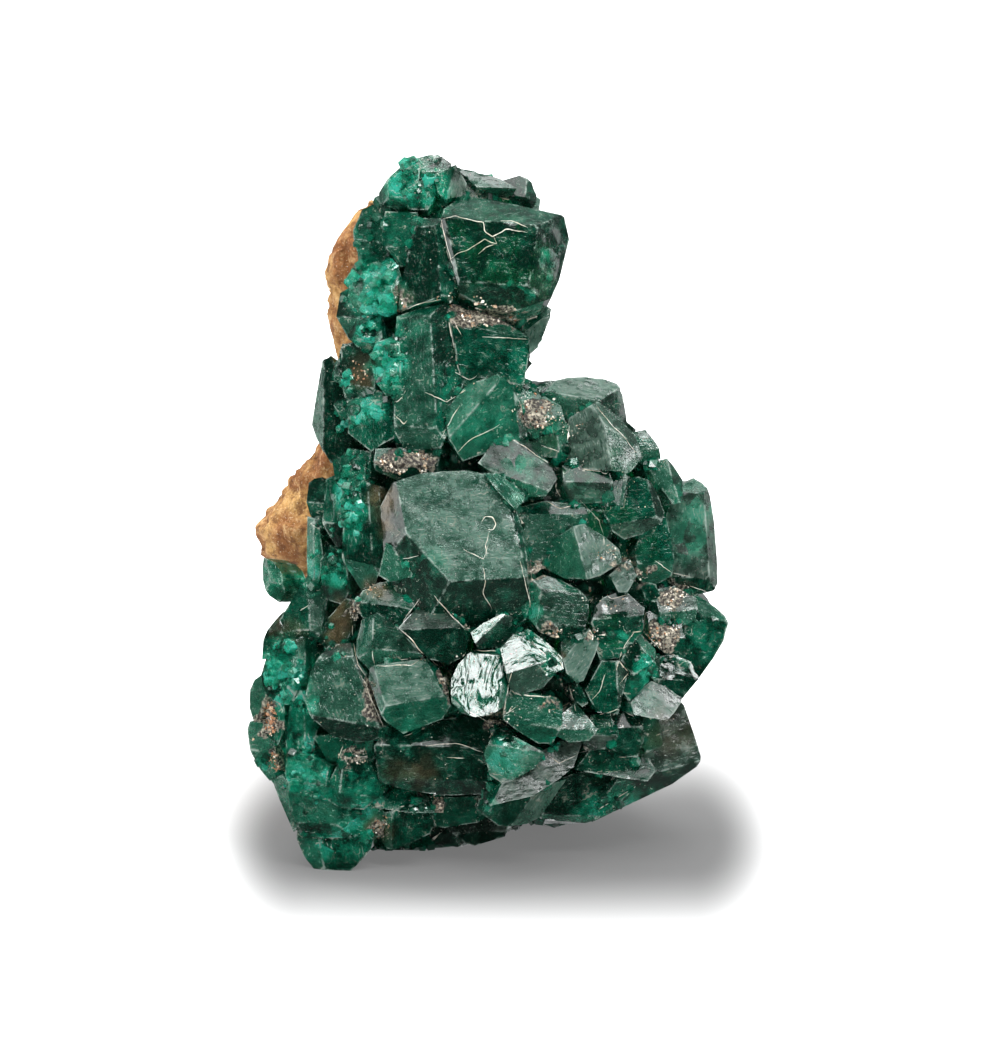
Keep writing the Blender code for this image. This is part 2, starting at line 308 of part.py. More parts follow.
LOWER_CRYSTALS = [
    dict(at=(-10.4, 24.6), near=15.2, slope=(-0.1, 0.4),
         outline=[(-13.0, 25.8), (-11.5, 26.6), (-9.8, 26.8), (-8.0, 25.8), (-7.0, 24.8),
                  (-8.8, 22.1), (-11.0, 23.4), (-13.0, 23.0), (-13.8, 24.3)],
         edges=[((-12.8, 24.6), (-8.0, 24.0), 0.7)]),
    dict(at=(-9.4, 28.4), near=16.4, slope=(-0.3, -0.1),
         outline=[(-10.4, 30.6), (-9.8, 30.3), (-7.4, 27.2), (-10.0, 26.6), (-11.4, 27.3)], edges=[]),
    dict(at=(-5.6, 20.6), near=17.0, slope=(0.0, -0.35),
         outline=[(-9.1, 22.0), (-8.0, 23.6), (-7.0, 24.8), (-5.6, 25.3), (-4.0, 23.6), (-2.6, 22.1),
                  (-2.3, 20.8), (-2.6, 19.2), (-4.3, 18.4), (-6.2, 18.9), (-7.8, 20.5)],
         edges=[((-8.8, 21.9), (-2.7, 22.1), 1.3)]),
    dict(at=(-0.5, 21.9), near=16.8, slope=(0.2, 0.3),
         outline=[(-1.9, 21.6), (-0.6, 22.6), (1.2, 23.5), (3.5, 23.0), (3.8, 21.9), (2.4, 21.3),
                  (1.0, 20.0), (-1.2, 20.0)],
         edges=[((-1.1, 20.9), (1.1, 23.0), 1.0)]),
    dict(at=(3.0, 19.2), near=16.6, slope=(0.2, 0.3),
         outline=[(1.0, 20.0), (2.4, 21.4), (3.8, 21.0), (5.6, 19.0), (7.3, 18.0), (5.5, 15.8),
                  (3.0, 15.3), (2.0, 16.0), (2.0, 17.6)],
         edges=[((2.0, 17.6), (5.8, 18.8), 1.0)]),
    dict(at=(5.0, 20.2), near=15.6, slope=(0.2, 0.3),
         outline=[(2.6, 21.4), (3.8, 22.0), (5.5, 20.8), (7.2, 19.2), (7.3, 18.0), (5.5, 17.4)], edges=[]),
    dict(at=(-0.8, 16.8), near=17.2, slope=(0.2, 0.3),
         outline=[(-3.8, 15.8), (-3.8, 17.0), (-3.2, 18.4), (-2.3, 19.4), (-1.2, 20.0), (0.9, 19.8),
                  (1.8, 18.8), (2.1, 17.6), (1.9, 15.8), (1.4, 14.2), (0.0, 13.5), (-1.5, 13.4),
                  (-2.8, 13.8), (-3.7, 14.8)],
         edges=[((1.5, 18.6), (0.8, 14.2), 1.2), ((-1.6, 19.6), (1.6, 19.2), 1.0),
                ((-3.5, 14.8), (-2.4, 13.8), 0.8)]),
    dict(at=(9.2, 18.8), near=14.6, slope=(0.35, 0.05),
         outline=[(7.2, 20.8), (10.0, 22.0), (11.1, 20.5), (10.6, 19.3), (9.3, 16.8), (8.6, 16.6),
                  (7.5, 17.6), (7.0, 19.3)],
         edges=[((9.6, 21.6), (7.0, 18.6), 0.8)]),
    dict(at=(8.9, 15.4), near=14.2, slope=(0.1, 0.1),
         outline=[(8.2, 15.8), (8.8, 16.6), (9.3, 15.8), (9.8, 14.6), (9.2, 14.2), (8.5, 14.8)], edges=[]),
    dict(at=(12.6, 21.2), near=13.2, slope=(0.1, -0.1),
         outline=[(10.2, 20.8), (11.0, 22.8), (13.0, 23.0), (15.5, 23.6), (15.3, 21.6), (14.2, 21.5),
                  (13.0, 19.0), (11.0, 18.8)],
         edges=[((10.8, 22.4), (15.2, 22.6), 0.7)]),
    dict(at=(14.8, 19.6), near=13.0, slope=(0.1, 0.1),
         outline=[(14.2, 21.5), (15.3, 21.6), (17.0, 19.8), (16.5, 18.8), (14.2, 17.3),
                  (13.0, 18.8)],
         edges=[((14.4, 21.0), (16.2, 18.8), 0.7)]),
    dict(at=(11.8, 16.4), near=13.2, slope=(0.0, -0.15),
         outline=[(9.5, 15.8), (11.0, 18.8), (12.8, 18.8), (14.0, 17.6), (13.2, 14.8), (13.0, 13.3),
                  (10.8, 13.6)],
         edges=[((12.6, 18.6), (12.8, 13.8), 0.5)]),
    dict(at=(17.6, 21.8), near=10.2, slope=(0.2, 0.4),
         outline=[(15.8, 23.6), (17.5, 24.3), (19.5, 22.6), (19.6, 19.8), (17.8, 19.3),
                  (15.8, 20.8)],
         edges=[((16.2, 21.0), (19.4, 21.0), 0.7)]),
    dict(at=(21.2, 20.8), near=8.2, slope=(0.2, -0.1),
         outline=[(19.3, 24.4), (20.7, 25.9), (21.7, 25.2), (23.2, 24.1), (24.0, 23.2), (24.1, 22.4),
                  (23.7, 20.7), (22.6, 18.9), (21.0, 16.8), (19.4, 14.9), (18.6, 15.8), (18.0, 19.8),
                  (18.2, 22.8)],
         edges=[((19.4, 23.8), (23.8, 22.6), 0.9), ((19.6, 24.0), (19.2, 16.0), 0.7)]),
    dict(at=(18.2, 17.4), near=10.4, slope=(0.1, 0.25),
         outline=[(16.5, 19.2), (19.0, 19.3), (20.4, 18.6), (21.0, 17.0), (19.4, 15.1), (17.0, 15.8),
                  (15.8, 17.3)],
         edges=[((16.4, 16.9), (20.4, 16.8), 0.5)]),
    dict(at=(16.4, 14.8), near=12.4, slope=(0.1, 0.35),
         outline=[(13.9, 14.6), (15.0, 15.8), (16.5, 16.7), (17.8, 16.2), (19.4, 15.0), (19.2, 14.6),
                  (18.2, 13.6), (17.3, 12.9), (15.5, 13.2), (14.0, 13.5)],
         edges=[]),
    dict(at=(15.0, 17.6), near=12.6, slope=(-0.3, 0.2),
         outline=[(15.3, 19.3), (16.2, 19.3), (16.5, 18.0), (15.0, 16.0), (13.8, 14.8), (13.2, 15.8),
                  (13.6, 17.6)],
         edges=[]),
    dict(at=(-8.2, 16.4), near=16.2, slope=(0.0, 0.2),
         outline=[(-12.2, 18.0), (-11.4, 18.4), (-8.0, 18.5), (-6.4, 19.0), (-5.3, 18.0),
                  (-4.2, 15.8), (-4.0, 14.3), (-5.0, 12.8), (-9.0, 11.3), (-10.5, 12.6),
                  (-11.5, 14.8), (-12.4, 16.8)],
         edges=[((-10.8, 14.2), (-5.0, 15.2), 0.8), ((-6.2, 18.6), (-4.6, 15.4), 0.8),
                ((-11.4, 17.6), (-10.4, 14.2), 1.0)]),
    dict(at=(-14.8, 16.2), near=14.0, slope=(-0.15, 0.1),
         outline=[(-18.2, 17.6), (-17.6, 18.6), (-16.8, 20.3), (-14.5, 20.5), (-13.4, 18.3),
                  (-12.4, 17.4), (-11.7, 15.3), (-10.6, 12.2), (-11.0, 11.0), (-13.0, 10.6),
                  (-16.0, 11.0), (-17.8, 12.8), (-18.7, 14.8)],
         edges=[((-13.2, 17.9), (-11.2, 12.6), 0.6), ((-18.0, 13.4), (-11.4, 12.2), 0.7),
                ((-17.4, 19.0), (-13.8, 19.2), 0.8)]),
    dict(at=(-10.6, 20.8), near=15.2, slope=(-0.1, 0.0),
         outline=[(-13.8, 20.8), (-13.2, 22.8), (-11.2, 23.6), (-9.0, 22.0), (-6.5, 19.2),
                  (-7.8, 18.5), (-11.3, 18.3), (-12.5, 17.6), (-13.8, 19.3)],
         edges=[((-11.6, 20.0), (-7.4, 19.6), 0.6), ((-11.6, 23.2), (-11.8, 18.4), 0.5)]),
    dict(at=(-15.4, 22.2), near=12.4, slope=(0.4, -0.1),
         outline=[(-16.8, 20.8), (-16.0, 23.0), (-14.5, 25.0), (-13.8, 24.8), (-13.8, 22.3),
                  (-14.9, 20.0), (-16.2, 19.8)],
         edges=[]),
    dict(at=(-19.2, 23.6), near=8.6, slope=(-0.3, 0.1),
         outline=[(-20.2, 24.6), (-19.0, 26.4), (-17.2, 27.0), (-16.5, 24.8), (-16.8, 20.8),
                  (-19.0, 19.8), (-20.6, 20.8), (-21.4, 22.8)],
         edges=[((-21.0, 21.6), (-17.0, 21.9), 0.8), ((-18.4, 26.8), (-17.8, 20.4), 0.6)]),
    dict(at=(-21.2, 21.6), near=6.6, slope=(-0.3, 0.1),
         outline=[(-22.2, 22.6), (-21.6, 23.6), (-20.2, 24.0), (-19.0, 20.8), (-20.5, 19.3),
                  (-23.0, 18.8), (-23.0, 20.8)],
         edges=[((-22.4, 21.8), (-19.6, 21.4), 0.5)]),
    dict(at=(-20.8, 17.6), near=9.5, slope=(-0.35, 0.1),
         outline=[(-22.8, 19.3), (-20.5, 20.8), (-18.5, 21.0), (-18.4, 18.0), (-19.2, 15.3),
                  (-20.0, 14.3), (-21.2, 14.3), (-22.8, 14.8), (-23.4, 17.3)],
         edges=[((-19.6, 20.8), (-20.2, 14.6), 0.5), ((-23.0, 16.4), (-18.8, 15.8), 0.5)]),
    dict(at=(-23.2, 14.8), near=6.4, slope=(-0.4, 0.0),
         outline=[(-24.3, 15.8), (-23.7, 16.8), (-22.8, 17.3), (-22.0, 14.8), (-22.8, 13.0),
                  (-23.8, 12.6), (-24.4, 14.0)],
         edges=[]),
    dict(at=(-22.9, 9.8), near=7.2, slope=(-0.3, 0.05),
         outline=[(-24.7, 11.8), (-24.4, 12.6), (-23.4, 12.8), (-21.5, 11.8), (-21.0, 8.8),
                  (-21.4, 6.6), (-22.8, 6.5), (-23.6, 7.6), (-24.2, 9.3)],
         edges=[((-24.4, 9.9), (-21.4, 9.4), 0.5)]),
    dict(at=(-21.4, 12.8), near=8.6, slope=(-0.4, 0.2),
         outline=[(-22.8, 14.6), (-20.6, 14.8), (-20.2, 12.0), (-20.8, 10.4), (-22.4, 11.2)], edges=[]),
    dict(at=(-18.8, 12.0), near=11.0, slope=(-0.3, 0.0),
         outline=[(-20.7, 10.8), (-20.2, 14.3), (-19.0, 15.8), (-17.8, 14.3), (-17.2, 12.3),
                  (-17.8, 9.8), (-19.0, 8.3), (-20.6, 8.8)],
         edges=[((-18.6, 15.6), (-18.4, 8.8), 0.5)]),
    dict(at=(-18.2, 7.2), near=11.5, slope=(-0.25, -0.1),
         outline=[(-20.5, 9.0), (-19.0, 9.6), (-16.5, 9.0), (-15.8, 8.3), (-16.2, 6.3), (-16.5, 5.0),
                  (-18.5, 4.8), (-20.2, 5.3), (-20.8, 7.3)],
         edges=[((-20.4, 6.6), (-16.0, 6.4), 0.6)]),
    dict(at=(-20.8, 5.4), near=8.0, slope=(-0.5, 0.0),
         outline=[(-22.2, 6.6), (-20.7, 7.4), (-19.0, 4.8), (-18.5, 2.8), (-19.3, 1.8),
                  (-19.9, 3.8)], edges=[]),
    dict(at=(-13.8, 6.8), near=12.0, slope=(0.0, -0.1),
         outline=[(-16.5, 6.3), (-15.5, 8.0), (-14.5, 9.3), (-12.2, 9.1), (-11.2, 7.3), (-11.0, 5.3),
                  (-13.0, 3.6), (-15.5, 3.8), (-16.8, 5.0)],
         edges=[((-14.6, 9.0), (-15.2, 4.2), 0.5), ((-15.8, 5.6), (-11.2, 5.2), 0.6)]),
    dict(at=(-14.6, 10.2), near=12.4, slope=(0.0, -0.5),
         outline=[(-17.5, 11.3), (-14.5, 11.6), (-11.4, 10.8), (-11.8, 8.8), (-14.5, 8.4),
                  (-16.5, 8.6)],
         edges=[]),
    dict(at=(-4.0, 9.0), near=13.0, slope=(0.0, -0.4),
         outline=[(-11.5, 10.3), (-10.5, 12.0), (-6.0, 12.6), (-2.0, 13.2), (1.0, 12.6), (4.0, 9.3),
                  (4.5, 8.3), (2.0, 6.3), (-0.3, 5.0), (-5.0, 4.8), (-9.0, 5.6), (-11.2, 6.5)],
         edges=[((-10.8, 10.4), (2.0, 10.0), 0.9), ((-11.0, 7.2), (2.0, 6.6), 0.4),
                ((-0.4, 11.0), (-0.6, 5.2), 0.3)]),
    dict(at=(1.8, 9.4), near=14.2, slope=(0.0, -0.2),
         outline=[(-0.6, 9.6), (0.2, 11.2), (1.0, 12.0), (4.0, 10.3), (5.5, 9.6), (4.5, 8.0),
                  (1.5, 6.3), (0.0, 7.3)],
         edges=[((0.0, 10.4), (4.4, 9.8), 0.8)]),
    dict(at=(4.6, 13.6), near=14.8, slope=(0.1, 0.0),
         outline=[(1.3, 13.0), (1.5, 14.8), (2.0, 16.0), (4.0, 15.4), (6.7, 15.1), (7.3, 14.3),
                  (7.3, 12.3), (6.5, 10.3), (5.0, 10.3), (3.0, 11.6)],
         edges=[((1.8, 12.8), (7.0, 12.0), 0.7)]),
    dict(at=(8.6, 12.4), near=13.4, slope=(0.1, 0.4),
         outline=[(7.0, 13.3), (8.8, 14.5), (10.8, 12.0), (10.0, 10.8), (8.0, 10.6), (6.6, 11.3)],
         edges=[((7.0, 12.0), (10.4, 11.8), 0.6)]),
    dict(at=(4.5, 7.6), near=13.0, slope=(0.15, 0.5),
         outline=[(-0.3, 4.9), (1.5, 7.4), (3.5, 8.7), (7.0, 10.0), (7.8, 10.7), (9.5, 11.0),
                  (10.0, 10.3), (8.6, 8.0), (7.0, 7.0), (4.0, 5.6)],
         edges=[]),
    dict(at=(1.6, 4.0), near=11.0, slope=(-0.4, -0.3),
         outline=[(-1.0, 4.8), (-0.3, 5.2), (7.0, 7.2), (5.1, 3.0), (3.8, 2.3), (1.0, 2.0),
                  (-1.2, 3.6)],
         edges=[((4.7, 5.8), (2.0, 2.2), 0.8)]),
    dict(at=(11.0, 11.6), near=12.0, slope=(0.0, 0.2),
         outline=[(10.2, 13.3), (12.2, 13.6), (12.8, 11.3), (12.2, 10.0), (10.6, 9.6), (9.5, 10.3)],
         edges=[((10.0, 11.4), (12.6, 11.2), 0.7)]),
    dict(at=(13.8, 11.2), near=11.4, slope=(0.1, -0.2),
         outline=[(12.2, 13.4), (15.0, 13.6), (15.5, 10.8), (15.0, 9.0), (13.0, 9.1), (12.0, 10.3)],
         edges=[((12.4, 12.0), (15.2, 12.2), 0.7)]),
    dict(at=(11.4, 9.0), near=10.2, slope=(0.1, -0.4),
         outline=[(8.5, 7.8), (10.0, 10.3), (15.0, 9.1), (14.0, 7.6), (11.5, 7.2)], edges=[]),
    dict(at=(13.6, 8.2), near=9.4, slope=(0.0, 0.3),
         outline=[(10.9, 7.5), (11.5, 8.3), (14.5, 9.1), (16.0, 9.0), (16.5, 7.8), (15.5, 6.8),
                  (13.0, 7.1)],
         edges=[]),
    dict(at=(15.6, 11.6), near=10.4, slope=(0.2, 0.1),
         outline=[(14.0, 13.3), (17.0, 13.6), (17.4, 10.3), (15.5, 9.6), (14.6, 11.0)], edges=[]),
    dict(at=(18.0, 11.0), near=6.4, slope=(0.15, 0.1),
         outline=[(15.0, 14.3), (19.3, 14.8), (19.8, 14.2), (20.7, 11.3), (21.3, 9.1), (21.1, 8.0),
                  (19.0, 6.1), (15.0, 4.5), (11.2, 2.3), (11.0, 4.8), (13.0, 8.8)],
         edges=[((14.0, 6.9), (21.2, 8.7), 1.0)]),
    dict(at=(10.0, 5.2), near=6.6, slope=(0.1, -0.4),
         outline=[(6.4, 7.0), (8.5, 7.8), (11.0, 7.6), (15.0, 6.6), (13.2, 4.3), (11.2, 2.4),
                  (10.2, 2.0), (8.0, 2.3), (5.5, 2.6), (5.1, 3.2)],
         edges=[((5.6, 3.3), (11.6, 3.1), 0.6)]),
    dict(at=(-7.8, 2.4), near=9.5, slope=(0.1, -0.4),
         outline=[(-9.8, 3.4), (-9.0, 4.2), (-6.5, 4.8), (-5.7, 4.3), (-5.6, 2.3), (-6.0, 1.3),
                  (-7.5, 0.5), (-9.5, -0.4), (-10.5, -0.4), (-11.0, 0.3), (-11.2, 3.3)],
         edges=[((-9.8, 4.2), (-9.8, -0.2), 1.0)]),
    dict(at=(-8.0, 5.0), near=9.4, slope=(0.0, 0.6),
         outline=[(-11.2, 4.2), (-10.8, 5.6), (-8.5, 6.4), (-4.5, 5.6), (-4.6, 3.8), (-8.0, 3.8)],
         edges=[]),
    dict(at=(-3.0, 3.6), near=8.6, slope=(0.0, -0.5),
         outline=[(-5.8, 3.8), (-4.5, 5.2), (-0.5, 5.4), (0.4, 3.6), (-1.2, 2.4), (-4.5, 1.8),
                  (-5.7, 2.0)],
         edges=[]),
    dict(at=(-1.4, 1.4), near=3.0, slope=(0.0, -0.3),
         outline=[(-4.7, 2.0), (-2.8, 3.2), (0.0, 3.4), (1.8, 2.2), (1.5, 1.0), (0.0, 0.5),
                  (-1.5, 0.0), (-2.4, 0.3), (-3.0, 1.0)],
         edges=[((-3.4, 1.4), (1.4, 1.6), 0.4)]),
    dict(at=(-15.5, 0.2), near=8.8, slope=(-0.1, -0.2),
         outline=[(-19.7, 0.6), (-19.0, -1.2), (-17.6, -2.8), (-14.4, -2.8), (-13.2, -1.6),
                  (-11.8, 0.0), (-11.5, 1.6), (-14.5, 3.0), (-18.0, 3.0), (-19.5, 1.8)],
         edges=[((-17.4, 2.6), (-16.6, -2.0), 0.4)]),
    dict(at=(-15.5, 3.2), near=10.4, slope=(-0.1, -0.2),
         outline=[(-20.2, 5.8), (-19.0, 6.2), (-16.0, 6.0), (-11.8, 5.4), (-10.8, 3.3), (-11.2, 0.8),
                  (-14.5, 0.8), (-19.0, 0.6), (-19.7, 2.3), (-20.0, 4.0)],
         edges=[((-15.0, 5.0), (-15.6, 0.8), 0.3), ((-19.6, 2.6), (-11.2, 2.2), 0.5)]),
]

# Patches of small crystals: centre across, up and near, how far they spread, how many, size.
DRUSE = [(-11.6, 61.6, 8.6, 2.2, 5, 1.4), (-13.0, 56.0, 9.0, 2.0, 4, 1.3), (-14.2, 48.6, 8.8, 1.5, 3, 1.1),
         (-14.0, 43.6, 9.2, 1.5, 3, 1.0), (-8.6, 38.8, 12.6, 2.0, 5, 1.0), (-16.4, 31.0, 7.8, 2.0, 3, 1.1),
         (-21.0, 16.4, 7.2, 2.2, 4, 1.2), (-22.0, 11.0, 6.2, 1.6, 3, 1.2), (-17.0, 2.6, 8.2, 2.2, 3, 1.3),
         (4.6, 43.6, 11.6, 1.7, 3, 1.0), (18.2, 23.0, 8.4, 1.8, 3, 1.0), (17.8, 18.6, 8.8, 1.3, 2, 1.0),
         (13.0, 12.0, 9.6, 2.0, 3, 1.1), (-6.4, 68.2, 9.8, 1.2, 2, 1.0), (-13.6, 8.8, 10.4, 1.6, 2, 1.0)]

# Crystals on the right side and the back, in rings around the heart: height up the face,
# angles in degrees from the front round by the right side, and size.
SIDE_RINGS = [(63.0, (95, 130, 165), 3.0), (56.0, (80, 118, 150), 3.3), (49.0, (88, 125, 158), 3.2),
              (43.0, (78, 108, 140), 3.8), (36.5, (84, 112, 138), 4.0), (30.0, (76, 100, 126), 4.2),
              (23.5, (82, 108, 132), 4.2), (17.0, (88, 112, 136), 4.2), (10.5, (82, 106, 130), 4.0),
              (5.0, (96, 122, 146), 3.6)]

# Single crystals that grew on the bare back of the rock: across, up, size, length, lean.
REAR_CRYSTALS = [(-9.0, 47.0, 1.7, 3.4, (0.25, 0.35)), (-13.0, 33.5, 2.1, 3.8, (-0.5, 0.2)),
                 (-3.0, 24.0, 2.4, 4.2, (0.2, 0.3)), (-12.0, 15.0, 1.9, 3.6, (-0.3, -0.2))]


def viewToWorld():
    # Turns the written frame into the world's: near points forward and a little up.
    across = Vector((1.0, 0.0, 0.0))
    up = Vector((0.0, math.sin(FACE_TILT), math.cos(FACE_TILT)))
    near = Vector((0.0, -math.cos(FACE_TILT), math.sin(FACE_TILT)))
    turn = Matrix((across, up, near)).transposed().to_4x4()
    shift = Matrix.Translation((SPECIMEN_SHIFT[0], SPECIMEN_SHIFT[1], 0.0))
    return shift @ turn @ Matrix.Scale(MM, 4)


def between(table, height, column=1):
    # Reads a table of stations at any height, straight between its rows.
    rows = sorted(table)
    if height <= rows[0][0]:
        return rows[0][column]
    for low, high in zip(rows, rows[1:]):
        if height <= high[0]:
            share = (height - low[0]) / (high[0] - low[0])
            return low[column] + share * (high[column] - low[column])
    return rows[-1][column]


def cutBody(planes, middle):
    # A block round the middle, cut by planes given as (point, outward normal).
    body = bmesh.new()
    bmesh.ops.create_cube(body, size=BLOCK, matrix=Matrix.Translation(middle))
    for point, normal in planes:
        everything = body.verts[:] + body.edges[:] + body.faces[:]
        cut = bmesh.ops.bisect_plane(body, geom=everything, dist=1e-5, plane_co=point,
                                     plane_no=normal, clear_outer=True)
        rim = [part for part in cut["geom_cut"] if isinstance(part, bmesh.types.BMEdge)]
        if len(rim) > 2:
            bmesh.ops.edgeloop_fill(body, edges=rim)
    bmesh.ops.remove_doubles(body, verts=body.verts, dist=0.01)
    bmesh.ops.recalc_face_normals(body, faces=body.faces)
    return body


def addBody(target, body, matrix=None):
    # Copies one closed body into a mesh that holds many.
    if matrix is not None:
        bmesh.ops.transform(body, matrix=matrix, verts=body.verts)
    holder = bpy.data.meshes.new("piece")
    body.to_mesh(holder)
    target.from_mesh(holder)
    bpy.data.meshes.remove(holder)
    body.free()


def hullOrder(points):
    # The convex outline of some flat points, anticlockwise.
    ordered = sorted(set(points))

    def half(sequence):
        chain = []
        for point in sequence:
            while len(chain) > 1:
                a, b = chain[-2], chain[-1]
                if (b[0] - a[0]) * (point[1] - a[1]) - (b[1] - a[1]) * (point[0] - a[0]) > 0.02:
                    break
                chain.pop()
            chain.append(point)
        return chain[:-1]

    return half(ordered) + half(reversed(ordered))


def frontCrystal(at, near, slope, outline, edges):
    # One crystal of the front: its main face and the faces beyond its edges are planes,
    # and its sides run back from the outline towards the heart of the cluster.
    heart = Vector((at[0], at[1], near))
    planes = [(heart, Vector((slope[0], slope[1], 1.0)))]
    for first, second, fall in edges:
        along = Vector(second) - Vector(first)
        outward = Vector((along.y, -along.x)).normalized()
        if outward.dot(Vector(at) - Vector(first)) > 0:
            outward = -outward
        fall = Vector(slope) + outward * fall
        drop = (first[0] - at[0]) * slope[0] + (first[1] - at[1]) * slope[1]
        planes.append((Vector((first[0], first[1], near - drop)), Vector((fall.x, fall.y, 1.0))))
    middle = sum((Vector(point) for point in outline), Vector((0.0, 0.0))) / len(outline)
    lean = Vector(((between(HEART, middle.y) - middle.x) / LEAN_DISTANCE,
                   (LEAN_HEIGHT - middle.y) / LEAN_UP_DISTANCE))
    hull = hullOrder(outline)
    for first, second in zip(hull, hull[1:] + hull[:1]):
        along = Vector(second) - Vector(first)
        outward = Vector((along.y, -along.x)).normalized()
        rise = outward.dot(lean) - FRONT_TAPER
        planes.append((Vector((first[0], first[1], near)), Vector((outward.x, outward.y, rise))))
    planes.append((heart - Vector((0.0, 0.0, FRONT_DEPTH)), Vector((0.0, 0.0, -1.0))))
    return cutBody(planes, heart)


def habitCrystal(centre, outward, radius, reach, draw):
    # A six-sided prism that ends in three slanting faces, as dioptase grows.
    axis = Vector(outward).normalized()
    side = axis.orthogonal().normalized()
    spin = draw.uniform(0.0, math.pi / 3.0)
    other = axis.cross(side)
    planes = []
    for step in range(6):
        angle = spin + step * math.pi / 3.0
        normal = side * math.cos(angle) + other * math.sin(angle)
        planes.append((centre + normal * radius * draw.uniform(*PRISM_SPREAD), normal))
    tip = centre + axis * reach
    for step in range(3):
        angle = spin + math.pi / 6.0 + step * 2.0 * math.pi / 3.0
        flat = side * math.cos(angle) + other * math.sin(angle)
        normal = flat * math.sin(RHOMB_ANGLE) + axis * math.cos(RHOMB_ANGLE)
        planes.append((tip - normal * draw.uniform(0.0, TIP_SPREAD) * radius, normal))
    planes.append((centre - axis * reach, -axis))
    return cutBody(planes, centre)


def keepInside(body, limit):
    # Slides a body sideways until it no longer passes the specimen's right or left edge.
    right = max(v.co.x - between(RIGHT_EDGE, v.co.y) for v in body.verts)
    left = max(between(LEFT_EDGE, v.co.y) - v.co.x for v in body.verts)
    top = max(v.co.y for v in body.verts) - limit
    slide = Vector((-max(right, 0.0) if right >= left else max(left, 0.0), -max(top, 0.0), 0.0))
    bmesh.ops.translate(body, vec=slide, verts=body.verts)


def loft(stations, sides, section):
    # A closed body through sections at each station, capped by a fan at both ends.
    body = bmesh.new()
    rings = []
    for station in stations:
        ring = [body.verts.new(section(station, 2.0 * math.pi * k / sides)) for k in range(sides)]
        rings.append(ring)
    for upper, lower in zip(rings, rings[1:]):
        for k in range(sides):
            body.faces.new((upper[k], upper[(k + 1) % sides], lower[(k + 1) % sides], lower[k]))
    for ring in (rings[0], rings[-1]):
        middle = sum((v.co for v in ring), Vector()) / sides
        hub = body.verts.new(middle)
        for k in range(sides):
            body.faces.new((ring[k], ring[(k + 1) % sides], hub))
    bmesh.ops.recalc_face_normals(body, faces=body.faces)
    return body


def heartBody():
    # The mass behind the crystals, with a soft six-cornered oval section at each station.
    def section(station, angle):
        height, centre, half, front, back = station
        bulge = 1.0 + HEART_BULGE * math.cos(HEART_CORNERS * angle + height)
        depth = 0.5 * (front - back)
        return (centre + half * math.cos(angle) * bulge, height,
                0.5 * (front + back) + depth * math.sin(angle) * bulge)

    return loft(HEART, HEART_SIDES, section)


def rockBody(grow):
    # The rock: rounded-square sections with lumps and pits from smooth noise.
    top = ROCK[0][0]
    bottom = ROCK[-1][0]
    stations = [top + (bottom - top) * step / (ROCK_STEPS - 1) for step in range(ROCK_STEPS)]

    def section(height, angle):
        left, right, front, back = (between(ROCK, height, column) for column in (1, 2, 3, 4))
        wide = math.copysign(abs(math.cos(angle)) ** ROCK_SQUARENESS, math.cos(angle))
        deep = math.copysign(abs(math.sin(angle)) ** ROCK_SQUARENESS, math.sin(angle))
        x = 0.5 * (left + right) + (0.5 * (right - left)) * wide
        n = 0.5 * (front + back) + (0.5 * (front - back)) * deep
        place = Vector((x, height, n))
        lump = sum(noise.noise(place * spread) * strength for spread, strength in ROCK_LUMPS)
        push = ROCK_ROUGHNESS * (lump - ROCK_SINK)
        return (x + push * math.cos(angle), height, n + push * math.sin(angle))

    body = loft(stations, ROCK_SIDES, section)
    bmesh.ops.triangulate(body, faces=body.faces)
    body.normal_update()
    moves = [v.normal * (grow * min(v.calc_shell_factor(), ROCK_CORNER_LIMIT)) for v in body.verts]
    for v, move in zip(body.verts, moves):
        v.co += move
    return body


def allCrystals():
    # Every crystal body, front, druse, sides and back, in one mesh of overlapping shells.
    draw = random.Random(CLUSTER_SEED)
    many = bmesh.new()
    for row in UPPER_CRYSTALS + MIDDLE_CRYSTALS + LOWER_CRYSTALS:
        addBody(many, frontCrystal(**row))
    for across, up, near, spread, count, size in DRUSE:
        for _ in range(count):
            place = Vector((across + draw.uniform(-spread, spread), up + draw.uniform(-spread, spread),
                            near + draw.uniform(*DRUSE_DEPTHS)))
            outward = Vector((DRUSE_TURN * across + draw.uniform(*DRUSE_LEAN),
                              draw.uniform(*DRUSE_RISE), 1.0))
            radius = size * draw.uniform(*DRUSE_SIZES)
            body = habitCrystal(place, outward, radius, radius * draw.uniform(*DRUSE_LENGTHS), draw)
            keepInside(body, DRUSE_TOP)
            addBody(many, body)
    for up, angles, size in SIDE_RINGS:
        for angle in angles:
            turn = math.radians(angle + draw.uniform(-SIDE_SWING, SIDE_SWING))
            height = up + draw.uniform(-SIDE_LIFT, SIDE_LIFT)
            centre, half, front, back = (between(HEART, height, column) for column in (1, 2, 3, 4))
            place = Vector((centre + half * math.sin(turn) * SIDE_SINK, height,
                            0.5 * (front + back) + 0.5 * (front - back) * math.cos(turn) * SIDE_SINK))
            outward = Vector((math.sin(turn), draw.uniform(*SIDE_RISE), math.cos(turn)))
            radius = size * draw.uniform(*SIDE_SIZES)
            body = habitCrystal(place, outward, radius, radius * draw.uniform(*SIDE_LENGTHS), draw)
            keepInside(body, SIDE_TOP)
            addBody(many, body)
    return many


def newObject(name, body, matrix=None):
    # Puts a bmesh into a named object, from the written frame unless another matrix is given.
    bmesh.ops.transform(body, matrix=matrix or viewToWorld(), verts=body.verts)
    mesh = bpy.data.meshes.new(name)
    body.to_mesh(mesh)
    body.free()
    made = bpy.data.objects.new(name, mesh)
    bpy.context.scene.collection.objects.link(made)
    return made


